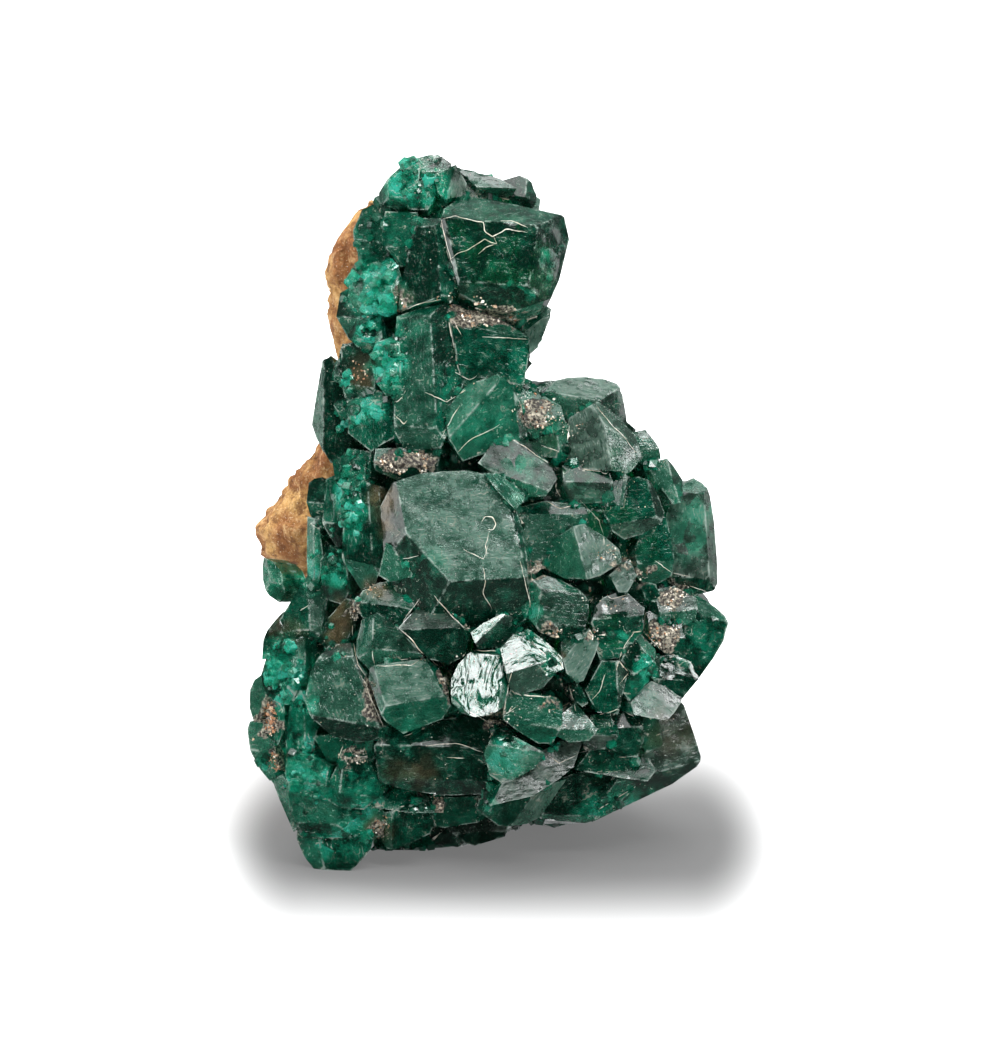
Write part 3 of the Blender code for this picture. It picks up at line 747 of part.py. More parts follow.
def asHelper(made):
    # Marks a cutter or a joining body, which isn't part of the specimen.
    made.hide_render = True
    made.display_type = "WIRE"
    return made


def floorBlock():
    # Everything under the surface that the specimen stands on.
    body = bmesh.new()
    bmesh.ops.create_cube(body, size=FLOOR_SIZE)
    return newObject("floor_cutter", body, Matrix.Translation((0.0, 0.0, -FLOOR_SIZE / 2.0)))


def addBoolean(target, other, operation, solver="EXACT"):
    # Joins or cuts; only a union may meet shells of its own that overlap.
    step = target.modifiers.new(operation.lower(), "BOOLEAN")
    step.operation = operation
    step.solver = solver
    step.object = other
    if solver == "EXACT":
        step.use_self = operation == "UNION"


def shellVolume(faces):
    # Signed volume of one shell; a pocket sealed inside the crystals comes out negative.
    total = 0.0
    for face in faces:
        first = face.verts[0].co
        for second, third in zip(face.verts[1:], face.verts[2:]):
            total += first.dot(second.co.cross(third.co)) / 6.0
    return total


def shells(body):
    # Splits a mesh into its separate shells, as lists of faces.
    seen = set()
    found = []
    for start in body.faces:
        if start in seen:
            continue
        seen.add(start)
        stack = [start]
        shell = []
        while stack:
            face = stack.pop()
            shell.append(face)
            for edge in face.edges:
                for linked in edge.link_faces if edge.is_manifold else ():
                    if linked not in seen:
                        seen.add(linked)
                        stack.append(linked)
        found.append(shell)
    return found


def bakeLargestShell(made):
    # Applies the modifiers and keeps the outer shell only, so the sealed pockets are filled.
    evaluated = made.evaluated_get(bpy.context.evaluated_depsgraph_get())
    body = bmesh.new()
    body.from_mesh(evaluated.to_mesh())
    evaluated.to_mesh_clear()
    found = sorted(shells(body), key=shellVolume, reverse=True)
    rest = [face for shell in found[1:] for face in shell]
    bmesh.ops.delete(body, geom=rest, context="FACES")
    made.modifiers.clear()
    body.to_mesh(made.data)
    body.free()


def addMaterial(made, name, colour, roughness, clear):
    material = bpy.data.materials.new(name)
    material.use_nodes = True
    shader = material.node_tree.nodes["Principled BSDF"]
    shader.inputs["Base Color"].default_value = colour
    shader.inputs["Roughness"].default_value = roughness
    shader.inputs["Metallic"].default_value = 0.0
    if clear:
        shader.inputs["IOR"].default_value = CRYSTAL_IOR
        shader.inputs["Transmission Weight"].default_value = CRYSTAL_CLEARNESS
    made.data.materials.clear()
    made.data.materials.append(material)


def leftEdgeCrystal():
    # The small crystal that hangs on the rock at the left, clear of the cluster.
    body = frontCrystal(at=(-21.9, 27.2), near=4.2, slope=(-0.35, 0.1),
                        outline=[(-23.3, 29.1), (-22.8, 29.0), (-21.8, 28.6), (-20.9, 27.8), (-20.5, 27.0),
                                 (-20.4, 25.6), (-21.6, 24.5), (-22.7, 25.2), (-23.5, 26.8), (-23.5, 28.3)],
                        edges=[((-22.4, 28.8), (-21.8, 25.0), 0.8), ((-23.2, 26.6), (-20.8, 26.4), 0.6)])
    everything = body.verts[:] + body.edges[:] + body.faces[:]
    cut = bmesh.ops.bisect_plane(body, geom=everything, dist=1e-5, plane_co=EDGE_CUT_PLACE,
                                 plane_no=EDGE_CUT_FACING, clear_outer=True)
    rim = [part for part in cut["geom_cut"] if isinstance(part, bmesh.types.BMEdge)]
    bmesh.ops.edgeloop_fill(body, edges=rim)
    bmesh.ops.recalc_face_normals(body, faces=body.faces)
    return body


def rearCrystal(across, up, radius, reach, lean, draw):
    # A crystal that points away from the rock's back.
    place = Vector((across, up, between(ROCK, up, 4) + ROCK_GAP))
    return habitCrystal(place, Vector((lean[0], lean[1], -1.0)), radius, reach, draw)


def makeSpecimen():
    for old in list(bpy.data.objects):
        bpy.data.objects.remove(old)
    matrix = newObject("matrix", rockBody(0.0))
    cluster = newObject("dioptase_crystals", allCrystals())
    heart = asHelper(newObject("cluster_heart", heartBody()))
    rockRoom = asHelper(newObject("rock_room", rockBody(ROCK_GAP)))
    floor = asHelper(floorBlock())
    addBoolean(cluster, heart, "UNION")
    bakeLargestShell(cluster)
    # The exact solver loses the joined cluster in these two cuts.
    addBoolean(cluster, rockRoom, "DIFFERENCE", "MANIFOLD")
    addBoolean(cluster, floor, "DIFFERENCE", "MANIFOLD")
    addBoolean(matrix, floor, "DIFFERENCE")
    single = newObject("left_edge_crystal", leftEdgeCrystal())
    addBoolean(single, rockRoom, "DIFFERENCE")
    green = [cluster, single]
    draw = random.Random(REAR_SEED)
    for number, row in enumerate(REAR_CRYSTALS, 1):
        rear = newObject(f"rear_crystal_{number}", rearCrystal(*row, draw))
        addBoolean(rear, rockRoom, "DIFFERENCE")
        green.append(rear)
    for made in [matrix] + green:
        bakeLargestShell(made)
    for made in green:
        addMaterial(made, made.name, CRYSTAL_GREEN, CRYSTAL_ROUGHNESS, True)
    addMaterial(matrix, "matrix", ROCK_BROWN, ROCK_MATERIAL_ROUGHNESS, False)
    for spare in (heart, rockRoom, floor):
        bpy.data.objects.remove(spare)


makeSpecimen()
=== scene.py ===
# The looks of a dioptase specimen: green crystals, cream film in their seams, brown rock.
# Shapes are worked out in millimetres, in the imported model's own frame, and made in metres.
import math

import bmesh
import bpy
import numpy as np
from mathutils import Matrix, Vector, geometry
from mathutils.bvhtree import BVHTree


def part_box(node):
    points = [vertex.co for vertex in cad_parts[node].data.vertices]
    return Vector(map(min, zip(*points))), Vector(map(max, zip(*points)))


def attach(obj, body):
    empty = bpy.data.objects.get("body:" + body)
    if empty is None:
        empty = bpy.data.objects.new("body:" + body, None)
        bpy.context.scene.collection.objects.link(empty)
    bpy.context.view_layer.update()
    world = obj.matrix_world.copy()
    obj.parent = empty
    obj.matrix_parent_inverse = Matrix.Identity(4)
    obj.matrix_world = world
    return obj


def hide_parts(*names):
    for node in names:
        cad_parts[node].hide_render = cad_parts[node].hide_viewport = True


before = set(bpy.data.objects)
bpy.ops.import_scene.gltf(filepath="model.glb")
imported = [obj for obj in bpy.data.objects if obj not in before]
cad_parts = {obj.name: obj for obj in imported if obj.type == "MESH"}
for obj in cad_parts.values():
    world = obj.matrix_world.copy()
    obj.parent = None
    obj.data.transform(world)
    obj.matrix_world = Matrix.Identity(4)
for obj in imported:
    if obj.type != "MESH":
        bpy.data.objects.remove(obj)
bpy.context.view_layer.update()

mm = 0.001

# The camera sees the specimen 15 degrees from above. A point of the picture is a pixel in
# its 1000 by 1055 frame, and ten pixels are one millimetre of the specimen.
picture = {
    "width": 1000.0,
    "height": 1055.0,
    "pixelsPerMm": 10.0,
    "zeroX": 490.0,                  # the pixel that shows the specimen's own zero
    "zeroY": 848.0,
    "tilt": math.radians(15.0),
    "shift": (0.235, -6.04, 0.0),    # where that zero lies in the model, in millimetres
    "aimNear": 8.0,                  # depth of the sharpest match, towards the camera
    "inFront": 80.0,                 # rays onto the specimen start this far in front of it
    "distance": 1600.0,
    "sensor": 36.0,
}
viewAxes = np.array([
    [1.0, 0.0, 0.0],
    [0.0, math.sin(picture["tilt"]), math.cos(picture["tilt"])],
    [0.0, -math.cos(picture["tilt"]), math.sin(picture["tilt"])],
])


def fromPixels(x, y, near):
    # The place in the model that a pixel shows, at a depth towards the camera.
    across = (np.asarray(x, float) - picture["zeroX"]) / picture["pixelsPerMm"]
    up = (picture["zeroY"] - np.asarray(y, float)) / picture["pixelsPerMm"]
    view = np.stack(np.broadcast_arrays(across, up, near), axis=-1)
    return view @ viewAxes + np.array(picture["shift"])


def toPixels(points):
    # The pixel that shows each point, and the point's depth towards the camera.
    view = (points - np.array(picture["shift"])) @ viewAxes.T
    x = picture["zeroX"] + view[:, 0] * picture["pixelsPerMm"]
    y = picture["zeroY"] - view[:, 1] * picture["pixelsPerMm"]
    return x, y, view[:, 2]


def hashed(cells, seed):
    # One number from -1 to 1 for each whole-number cell, always the same for that cell.
    n = cells[..., 0] * 73856093 ^ cells[..., 1] * 19349663 ^ cells[..., 2] * 83492791
    n = (n ^ (seed * 2654435761)) & 0xFFFFFFFF
    n = ((n ^ (n >> 15)) * 2246822519) & 0xFFFFFFFF
    n = ((n ^ (n >> 13)) * 3266489917) & 0xFFFFFFFF
    return ((n ^ (n >> 16)) & 0xFFFFFF) / float(0x7FFFFF) - 1.0


def smoothNoise(points, size, seed=1):
    # Value noise: hashed corners of a grid of the given size, blended by 3t^2 - 2t^3.
    scaled = np.asarray(points, float) / size
    base = np.floor(scaled).astype(np.int64)
    blend = scaled - base
    blend = blend * blend * (3.0 - 2.0 * blend)
    total = np.zeros(len(scaled))
    for corner in np.ndindex(2, 2, 2):
        weight = np.prod(np.where(np.array(corner), blend, 1.0 - blend), axis=1)
        total += weight * hashed(base + np.array(corner), seed)
    return total


def layeredNoise(points, size, layers=3, seed=1):
    # Sum of noises, each half as wide and half as strong as the one before.
    return sum(smoothNoise(points, size * 0.5 ** k, seed + k) * 0.5 ** k for k in range(layers))


spotWander = 9.0        # pixels that a painted spot's border strays
spotWanderSize = 1.5    # millimetres


def spotField(points, spots):
    # Adds soft ovals with wandering borders: each spot is x, y, half width, half height in pixels,
    # then strength.
    x, y, near = toPixels(points)
    x = x + spotWander * layeredNoise(points, spotWanderSize, 2, 83)
    y = y + spotWander * layeredNoise(points, spotWanderSize, 2, 89)
    total = np.zeros(len(points))
    for spotX, spotY, wide, high, strength in spots:
        reach = ((x - spotX) / wide) ** 2 + ((y - spotY) / high) ** 2
        total += strength * np.exp(-reach * reach)
    return total * np.clip((near + 4.0) / 6.0, 0.0, 1.0)


def oneLong(rows):
    # Each row scaled to length one.
    return rows / np.maximum(np.linalg.norm(rows, axis=-1, keepdims=True), 1e-12)


def crossOf(points, triangles):
    # Along each triangle's normal, twice its area long.
    a, b, c = (points[corner] for corner in triangles.T)
    return np.cross(b - a, c - a)


def makePiece(name, vertices, faces, material, slotName, smooth=True):
    # Puts arrays into a mesh object in metres, which rides on the specimen.
    mesh = bpy.data.meshes.new(name)
    mesh.from_pydata((np.asarray(vertices) * mm).tolist(), [], np.asarray(faces).tolist())
    mesh.polygons.foreach_set("use_smooth", np.full(len(mesh.polygons), smooth))
    mesh.materials.append(material)
    piece = bpy.data.objects.new(name, mesh)
    bpy.context.scene.collection.objects.link(piece)
    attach(piece, "root")
    return piece


def setAttribute(piece, name, values, domain="POINT"):
    made = piece.data.attributes.new(name, "FLOAT", domain)
    made.data.foreach_set("value", np.asarray(values, np.float32))


# Crystals: every flat facet of the solid gets a fine lattice, shallow growth relief,
# worn ridges, and numbers that the material reads.
crystals = {
    "frontSpacing": 0.38,   # between lattice points on facets that the photo shows
    "backSpacing": 0.62,
    "jitter": 0.16,         # share of the spacing that a lattice point is nudged by
    "clear": 0.42,          # share of the spacing kept free along a facet's border
    "ridgeAngle": 0.30,     # radians; a sharper outward fold is a ridge
    "seamAngle": -0.12,     # a sharper inward fold is a seam
    "fade": 0.7,            # relief fades to nothing within this distance of a border
    "waves": 0.03,          # height of the slow swell of a facet
    "waveSize": 2.4,
    "terraces": 0.035,      # height of the growth steps
    "terraceSize": 1.5,
    "terraceSteps": 2.0,
    "terraceTilt": 0.3,     # share of the noise left in each step
    "chips": 0.16,          # how deep a ridge is worn at most
    "chipSize": 0.9,
    "chipsFrom": 0.1,       # noise above which a ridge is worn
    "farReach": 3.0,        # distances are kept up to this
    "leastFrost": 0.03,     # of a facet that isn't listed
    "hashedFrost": 0.5,     # and how much more it may have
    "clearBelow": 0.1,      # facets set to no more frost than this are clear and dark
    "clearTone": 0.12,
    "seed": 11,
}

# Single facets, found by the pixel that shows them: x, y, and how frosted each one is.
frostedFacets = [
    (450, 520, 0.52), (545, 770, 0.95), (600, 745, 0.9), (540, 805, 0.85), (655, 785, 0.75), (590, 440, 0.9),
    (600, 545, 0.75), (623, 578, 0.8), (620, 425, 0.7), (590, 385, 0.8), (713, 520, 0.8), (655, 700, 0.65),
    (590, 660, 0.85), (410, 690, 0.7), (440, 618, 0.55), (335, 690, 0.55), (458, 190, 0.9), (510, 195, 0.35),
    (535, 325, 0.9), (320, 400, 0.6), (545, 455, 0.5), (600, 490, 0.55), (640, 520, 0.5), (530, 680, 0.55),
    (575, 600, 0.45), (640, 640, 0.4), (690, 610, 0.45), (430, 430, 0.25), (410, 330, 0.3), (300, 650, 0.5),
    (660, 490, 0.4), (665, 745, 0.5), (500, 470, 0.45), (520, 240, 0.12), (570, 520, 0.45), (470, 830, 0.6),
    (350, 690, 0.4), (560, 625, 0.35), (620, 700, 0.35), (580, 565, 0.35), (380, 640, 0.3), (310, 600, 0.45),
    (490, 605, 0.05), (440, 590, 0.05), (510, 290, 0.05), (560, 250, 0.05), (430, 780, 0.08), (470, 770, 0.08),
    (620, 805, 0.1), (560, 790, 0.1), (400, 590, 0.05), (460, 640, 0.1), (500, 740, 0.05), (455, 235, 0.05),
    (685, 500, 0.6), (690, 545, 0.6), (664, 618, 0.5), (625, 455, 0.45), (680, 630, 0.5), (650, 640, 0.5),
]
mirrorFacets = [(480, 680, 1.3), (520, 655, 0.7), (541, 648, 0.7), (487, 628, 0.8), (607, 712, 0.6)]

# Soft painted places, in pixels: x, y, half width, half height, strength.
# The bright spots are painted glow: lighter emerald and turquoise where light scatters in and shines through
# thin, broken crystal
paintedGlowSpots = [
    (410, 182, 34, 28, 1.0), (440, 200, 14, 16, 0.6), (372, 290, 30, 34, 1.0), (370, 335, 14, 18, 1.1),
    (390, 366, 20, 32, 0.9), (372, 410, 16, 16, 0.9), (348, 384, 8, 16, 0.7), (357, 418, 6, 12, 0.7),
    (352, 500, 13, 42, 0.95), (311, 566, 12, 28, 0.8), (334, 578, 14, 12, 0.7), (284, 672, 24, 34, 0.95),
    (308, 705, 8, 10, 0.7), (309, 750, 9, 10, 0.7), (308, 780, 26, 22, 0.6), (357, 822, 16, 18, 0.6),
    (510, 755, 24, 20, 0.95), (532, 615, 10, 18, 0.8), (553, 745, 8, 8, 0.9), (646, 666, 10, 14, 0.7),
    (590, 812, 18, 8, 0.45), (549, 262, 10, 12, 0.5), (518, 290, 14, 10, 0.5), (491, 804, 6, 6, 0.7),
    (350, 255, 20, 36, 0.35), (320, 848, 26, 14, 0.5), (270, 580, 14, 20, 0.35), (470, 420, 40, 26, 0.35),
    (430, 560, 26, 16, 0.3), (692, 525, 24, 40, 0.5), (545, 400, 26, 14, 0.4), (690, 640, 26, 22, 0.3),
    (620, 810, 50, 18, 0.25), (400, 340, 36, 40, 0.25), (262, 790, 14, 30, 0.5), (500, 470, 22, 20, 0.22),
    (330, 795, 44, 40, 0.3), (350, 842, 30, 20, 0.35), (290, 735, 26, 34, 0.4), (385, 795, 34, 34, 0.25),
    (410, 735, 26, 14, 0.4), (620, 800, 30, 16, 0.5), (640, 700, 20, 30, 0.3), (530, 480, 18, 40, 0.35),
    (455, 380, 26, 20, 0.25), (385, 700, 10, 24, 0.2), (590, 500, 30, 18, 0.25), (520, 370, 24, 30, 0.3),
]
tanSpots = [
    (361, 370, 12, 16, 0.4), (385, 508, 13, 28, 0.8), (378, 591, 17, 11, 0.9), (340, 622, 11, 24, 0.8),
    (381, 828, 12, 18, 0.5), (287, 632, 16, 10, 0.4), (672, 732, 26, 22, 0.3), (565, 659, 5, 5, 0.6),
    (412, 770, 26, 14, 0.35), (400, 300, 8, 14, 0.4),
]
crustSpots = [
    (478, 315, 36, 12, 1.0), (515, 320, 14, 10, 0.8), (410, 463, 34, 12, 1.0), (538, 412, 24, 16, 0.9),
    (677, 598, 14, 20, 1.0), (665, 635, 20, 14, 1.0), (642, 577, 10, 8, 0.8), (355, 612, 7, 16, 0.9),
    (445, 678, 7, 20, 0.9), (500, 720, 16, 10, 0.8), (270, 719, 12, 22, 1.0), (276, 765, 9, 18, 0.8),
    (596, 634, 8, 10, 0.8), (355, 755, 18, 10, 0.8), (435, 803, 12, 8, 0.7), (552, 630, 10, 8, 0.6),
    (538, 568, 10, 12, 0.8), (381, 828, 10, 14, 0.6), (400, 300, 9, 15, 0.6), (620, 560, 20, 12, 0.6),
    (372, 700, 10, 26, 0.8), (560, 700, 24, 8, 0.6),
]


def facetBody(node):
    # The solid's mesh with its loose triangles merged back into flat facets, in millimetres.
    body = bmesh.new()
    body.from_mesh(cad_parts[node].data)
    bmesh.ops.scale(body, vec=(1.0 / mm, 1.0 / mm, 1.0 / mm), verts=body.verts)
    bmesh.ops.remove_doubles(body, verts=body.verts, dist=0.0005)
    bmesh.ops.dissolve_limit(body, angle_limit=math.radians(0.8), verts=body.verts, edges=body.edges)
    for part in (body.verts, body.edges, body.faces):
        part.index_update()
        part.ensure_lookup_table()
    return body


def awayFrom(points, starts, ends):
    # Distance from every point to every line piece, as a table.
    along = ends - starts
    length = np.maximum((along ** 2).sum(1), 1e-12)
    share = np.clip(((points[:, None] - starts) * along).sum(2) / length, 0.0, 1.0)
    return np.linalg.norm(points[:, None] - (starts + share[..., None] * along), axis=2)


def insideRing(points, ring):
    # Even-odd rule: a point is inside when a line to its right meets the ring an odd number of times.
    a, b = ring, np.roll(ring, -1, axis=0)
    straddles = (a[:, 1] > points[:, None, 1]) != (b[:, 1] > points[:, None, 1])
    rise = np.where(np.abs(b[:, 1] - a[:, 1]) < 1e-12, 1e-12, b[:, 1] - a[:, 1])
    meets = a[:, 0] + (points[:, None, 1] - a[:, 1]) * (b[:, 0] - a[:, 0]) / rise
    return (straddles & (points[:, None, 0] < meets)).sum(1) % 2 == 1


def triangularLattice(low, high, spacing, seed):
    # Rows of points, every second row moved by half a step, each point nudged a little.
    columns = np.arange(low[0], high[0] + spacing, spacing)
    rows = np.arange(low[1], high[1] + spacing, spacing * 0.866)
    x, y = np.meshgrid(columns, rows)
    x = x + 0.5 * spacing * (np.arange(len(rows)) % 2)[:, None]
    points = np.stack([x.ravel(), y.ravel()], axis=1)
    draw = np.random.default_rng(seed)
    return points + draw.uniform(-1.0, 1.0, points.shape) * spacing * crystals["jitter"]


def latticeCrystal(node):
    # Fine triangles on every facet of a crystal solid, with what is known about each of them.
    body = facetBody(node)
    far = crystals["farReach"]
    faceSpacing = [crystals["frontSpacing"] if np.dot(f.normal, viewAxes[2]) > -0.1
                   else crystals["backSpacing"] for f in body.faces]
    corners = np.array([v.co for v in body.verts])
    rows, edgeInner, edgeKind, pointFold = [corners], [], [], [np.zeros((len(corners), 3))]
    count = len(corners)
    for edge in body.edges:
        a, b = (corners[v.index] for v in edge.verts)
        spacing = min(faceSpacing[f.index] for f in edge.link_faces)
        pieces = max(1, int(round(np.linalg.norm(b - a) / spacing)))
        rows.append(a + (b - a) * (np.arange(1, pieces) / pieces)[:, None])
        edgeInner.append(list(range(count, count + pieces - 1)))
        count += pieces - 1
        angle = edge.calc_face_angle_signed(0.0)
        kind = 1 if angle > crystals["ridgeAngle"] else -1 if angle < crystals["seamAngle"] else 0
        edgeKind.append(kind)
        fold = np.array(sum((f.normal for f in edge.link_faces), Vector()).normalized()) * (kind == 1)
        pointFold.append(np.tile(fold, (pieces - 1, 1)))
    border = np.concatenate(rows)
    edgeKind = np.array(edgeKind)
    seam, ridge = np.full(count, far), np.full(count, far)
    points, seams, ridges, reaches, owners = [border], [seam], [ridge], [np.zeros(count)], [np.full(count, -1)]
    triangles, facetOf, origins, alongs, sides, normals = [], [], [], [], [], []
    for face in body.faces:
        ring = []
        for loop in face.loops:
            inner = edgeInner[loop.edge.index]
            ring.append(loop.vert.index)
            ring.extend(inner if loop.edge.verts[0] == loop.vert else inner[::-1])
        coarse = np.array([loop.vert.co for loop in face.loops])
        kinds = edgeKind[[loop.edge.index for loop in face.loops]]
        legs = np.roll(coarse, -1, axis=0) - coarse
        normal = np.array(face.normal)
        along = legs[np.argmax((legs ** 2).sum(1))]
        along = along - normal * (along @ normal)
        along = along / max(np.linalg.norm(along), 1e-9)
        side = np.cross(normal, along)
        basis = np.stack([along, side])
        origin = coarse.mean(0)
        ring2d, coarse2d = (border[ring] - origin) @ basis.T, (coarse - origin) @ basis.T
        starts, ends = coarse2d, np.roll(coarse2d, -1, axis=0)
        spacing = faceSpacing[face.index]
        inside = triangularLattice(coarse2d.min(0), coarse2d.max(0), spacing, crystals["seed"] + face.index)
        inside = inside[insideRing(inside, coarse2d)]
        if len(inside):
            inside = inside[awayFrom(inside, starts, ends).min(1) > crystals["clear"] * spacing]
        flat = np.concatenate([ring2d, inside])
        found = geometry.delaunay_2d_cdt([Vector(p) for p in flat], [], [list(range(len(ring)))], 1, 1e-7, True)
        known = np.concatenate([np.array(ring, int), np.arange(count, count + len(inside))])
        back = np.array([known[o[0]] if o else -1 for o in found[3]], int)
        made = np.array([f for f in found[2] if len(f) == 3], int).reshape(-1, 3)
        made = back[made]
        made = made[(made >= 0).all(1) & (made != np.roll(made, 1, axis=1)).all(1)]
        gaps = awayFrom(flat, starts, ends)
        toSeam = np.min(gaps[:, kinds == -1], axis=1, initial=far)
        toRidge = np.min(gaps[:, kinds == 1], axis=1, initial=far)
        seam[ring] = np.minimum(seam[ring], toSeam[:len(ring)])
        ridge[ring] = np.minimum(ridge[ring], toRidge[:len(ring)])
        seams.append(toSeam[len(ring):])
        ridges.append(toRidge[len(ring):])
        reaches.append(gaps[len(ring):].min(1) if len(inside) else np.zeros(0))
        owners.append(np.full(len(inside), face.index))
        points.append(origin + inside @ basis)
        triangles.append(made)
        facetOf.append(np.full(len(made), face.index))
        for store, value in zip((origins, alongs, sides, normals), (origin, along, side, normal)):
            store.append(value)
        count += len(inside)
    fold = np.zeros((count, 3))
    fold[:len(border)] = np.concatenate(pointFold)
    return {
        "body": body, "kinds": edgeKind,
        "points": np.concatenate(points), "triangles": np.concatenate(triangles),
        "facetOf": np.concatenate(facetOf), "owner": np.concatenate(owners), "reach": np.concatenate(reaches),
        "seam": np.concatenate(seams), "ridge": np.concatenate(ridges), "fold": fold,
        "origin": np.array(origins), "along": np.array(alongs), "side": np.array(sides),
        "normal": np.array(normals),
    }


def growthRelief(made):
    # Interior points rise along the facet's normal by a slow swell plus terraces, which are noise
    # rounded to whole steps. Points on a ridge sink along its fold where a chip noise is high.
    points, owner = made["points"], made["owner"]
    inner = owner >= 0
    p = points[inner]
    fade = np.clip(made["reach"][inner] / crystals["fade"], 0.0, 1.0)
    swell = crystals["waves"] * smoothNoise(p, crystals["waveSize"], 5)
    rise = layeredNoise(p, crystals["terraceSize"], 2, 17) * crystals["terraceSteps"]
    terrace = crystals["terraces"] * (np.round(rise) - rise * crystals["terraceTilt"])
    moved = points.copy()
    moved[inner] += made["normal"][owner[inner]] * (fade * (swell + terrace))[:, None]
    chip = np.clip(layeredNoise(points, crystals["chipSize"], 2, 29) - crystals["chipsFrom"], 0.0, 1.0)
    moved = moved - made["fold"] * (chip * crystals["chips"])[:, None]
    moved[:, 2] = np.maximum(moved[:, 2], 0.0)
    return moved


def facetValues(made):
    # How frosted every facet is: a hashed value of its own, then the listed ones.
    body = made["body"]
    hashes = hashed(np.round(made["origin"] * 40.0).astype(np.int64), 3) * 0.5 + 0.5
    frostAndSheen = crystals["leastFrost"] + crystals["hashedFrost"] * hashes ** 4
    shine = np.zeros(len(frostAndSheen))
    tree = BVHTree.FromBMesh(body)
    rows = [(*row, False) for row in frostedFacets] + [(*row, True) for row in mirrorFacets]
    for x, y, value, mirror in rows:
        facet = tree.ray_cast(Vector(fromPixels(x, y, picture["inFront"])), Vector(-viewAxes[2]))[2]
        if facet is None:
            continue
        frostAndSheen[facet] = 0.0 if mirror else value
        if mirror:
            shine[facet] = value
        elif value <= crystals["clearBelow"]:
            hashes[facet] = crystals["clearTone"]
    return frostAndSheen, hashes, shine


def dressCrystal(pieceName, node, material):
    made = latticeCrystal(node)
    points = growthRelief(made)
    triangles = made["triangles"]
    turned = (crossOf(points, triangles) * made["normal"][made["facetOf"]]).sum(1) < 0.0
    triangles[turned] = triangles[turned][:, ::-1]
    piece = makePiece(pieceName, points, triangles, material, "dioptase")
    mesh = piece.data
    frostAndSheen, tone, shine = facetValues(made)
    for name, values in (("shine", shine), ("frostAndSheen", frostAndSheen), ("tone", tone)):
        setAttribute(piece, name, values[made["facetOf"]], "FACE")
    for name in ("seam", "ridge"):
        setAttribute(piece, name, made[name])
    for name, spots in (("bright", paintedGlowSpots), ("tan", tanSpots), ("crust", crustSpots)):
        setAttribute(piece, name, np.clip(spotField(made["points"], spots), 0.0, 1.0))
    owner = np.repeat(made["facetOf"], 3)
    away = made["points"][triangles.ravel()] - made["origin"][owner]
    flat = np.stack([(away * made["along"][owner]).sum(1), (away * made["side"][owner]).sum(1)], axis=1)
    flat += tone[owner][:, None] * np.array([37.0, 91.0])
    layer = mesh.uv_layers.new(name="facetMm")
    layer.data.foreach_set("uv", flat.astype(np.float32).ravel())
    edgeOf = np.empty(len(mesh.loops), np.int32)
    mesh.loops.foreach_get("edge_index", edgeOf)
    least = np.full(len(mesh.edges), 1 << 30)
    most = np.full(len(mesh.edges), -1)
    np.minimum.at(least, edgeOf, owner)
    np.maximum.at(most, edgeOf, owner)
    sharp = mesh.attributes.new("sharp_edge", "BOOLEAN", "EDGE")
    sharp.data.foreach_set("value", least != most)
    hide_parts(node)
    print(node, len(made["body"].faces), "facets,", len(triangles), "triangles")
    return piece, made


# Material helpers: a small way to place nodes and join them.
class Value:
    # A number worked out inside a material: its sums, products and ranges are math nodes.
    def __init__(self, tree, socket):
        self.tree, self.socket = tree, socket

    def math(self, operation, other):
        made = place(self.tree, "ShaderNodeMath", {0: self, 1: other}, operation=operation)
        return Value(self.tree, made.outputs[0])

    def __add__(self, other):
        return self.math("ADD", other)

    def __mul__(self, other):
        return self.math("MULTIPLY", other)

    def most(self, other):
        return self.math("MAXIMUM", other)

    def ranged(self, low, high, toLow=0.0, toHigh=1.0, smooth=False):
        made = place(self.tree, "ShaderNodeMapRange", {0: self, 1: low, 2: high, 3: toLow, 4: toHigh},
                     interpolation_type="SMOOTHSTEP" if smooth else "LINEAR")
        return Value(self.tree, made.outputs[0])


def place(tree, kind, values=None, **settings):
    # Places a node; values fill its sockets by name or number, with a link where one is worked out.
    node = tree.nodes.new(kind)
    for key, value in settings.items():
        setattr(node, key, value)
    for key, value in (values or {}).items():
        value = getattr(value, "socket", value)
        if isinstance(value, bpy.types.NodeSocket):
            tree.links.new(value, node.inputs[key])
        else:
            node.inputs[key].default_value = value
    return node


def newMaterial(name):
    made = bpy.data.materials.new(name)
    made.use_nodes = True
    made.node_tree.nodes.clear()
    return made, made.node_tree, place(made.node_tree, "ShaderNodeTexCoord").outputs


def finishMaterial(tree, principled, absorption=None):
    ends = {"Surface": place(tree, "ShaderNodeBsdfPrincipled", principled).outputs[0]}
    if absorption:
        ends["Volume"] = place(tree, "ShaderNodeVolumeAbsorption", absorption).outputs[0]
    place(tree, "ShaderNodeOutputMaterial", ends)


def blend(tree, share, a, b):
    return place(tree, "ShaderNodeMix", {0: share, 6: a, 7: b}, data_type="RGBA").outputs[2]


def vectors(tree, operation, *given):
    node = place(tree, "ShaderNodeVectorMath", dict(enumerate(given)), operation=operation)
    return node.outputs["Value" if operation in ("LENGTH", "DOT_PRODUCT") else "Vector"]


def noiseOf(tree, vector, scale, detail, rough, distortion=0.0):
    return Value(tree, place(tree, "ShaderNodeTexNoise", {
        "Vector": vector, "Scale": scale, "Detail": detail, "Roughness": rough, "Distortion": distortion,
    }).outputs[0])


def scaledBy(tree, vector, scale):
    return place(tree, "ShaderNodeMapping", {"Vector": vector, "Scale": scale}).outputs[0]


def bumpOf(tree, strength, distance, height):
    values = {"Strength": strength, "Distance": distance, "Height": height}
    return place(tree, "ShaderNodeBump", values).outputs[0]


def attribute(tree, name):
    return Value(tree, place(tree, "ShaderNodeAttribute", attribute_name=name).outputs["Fac"])


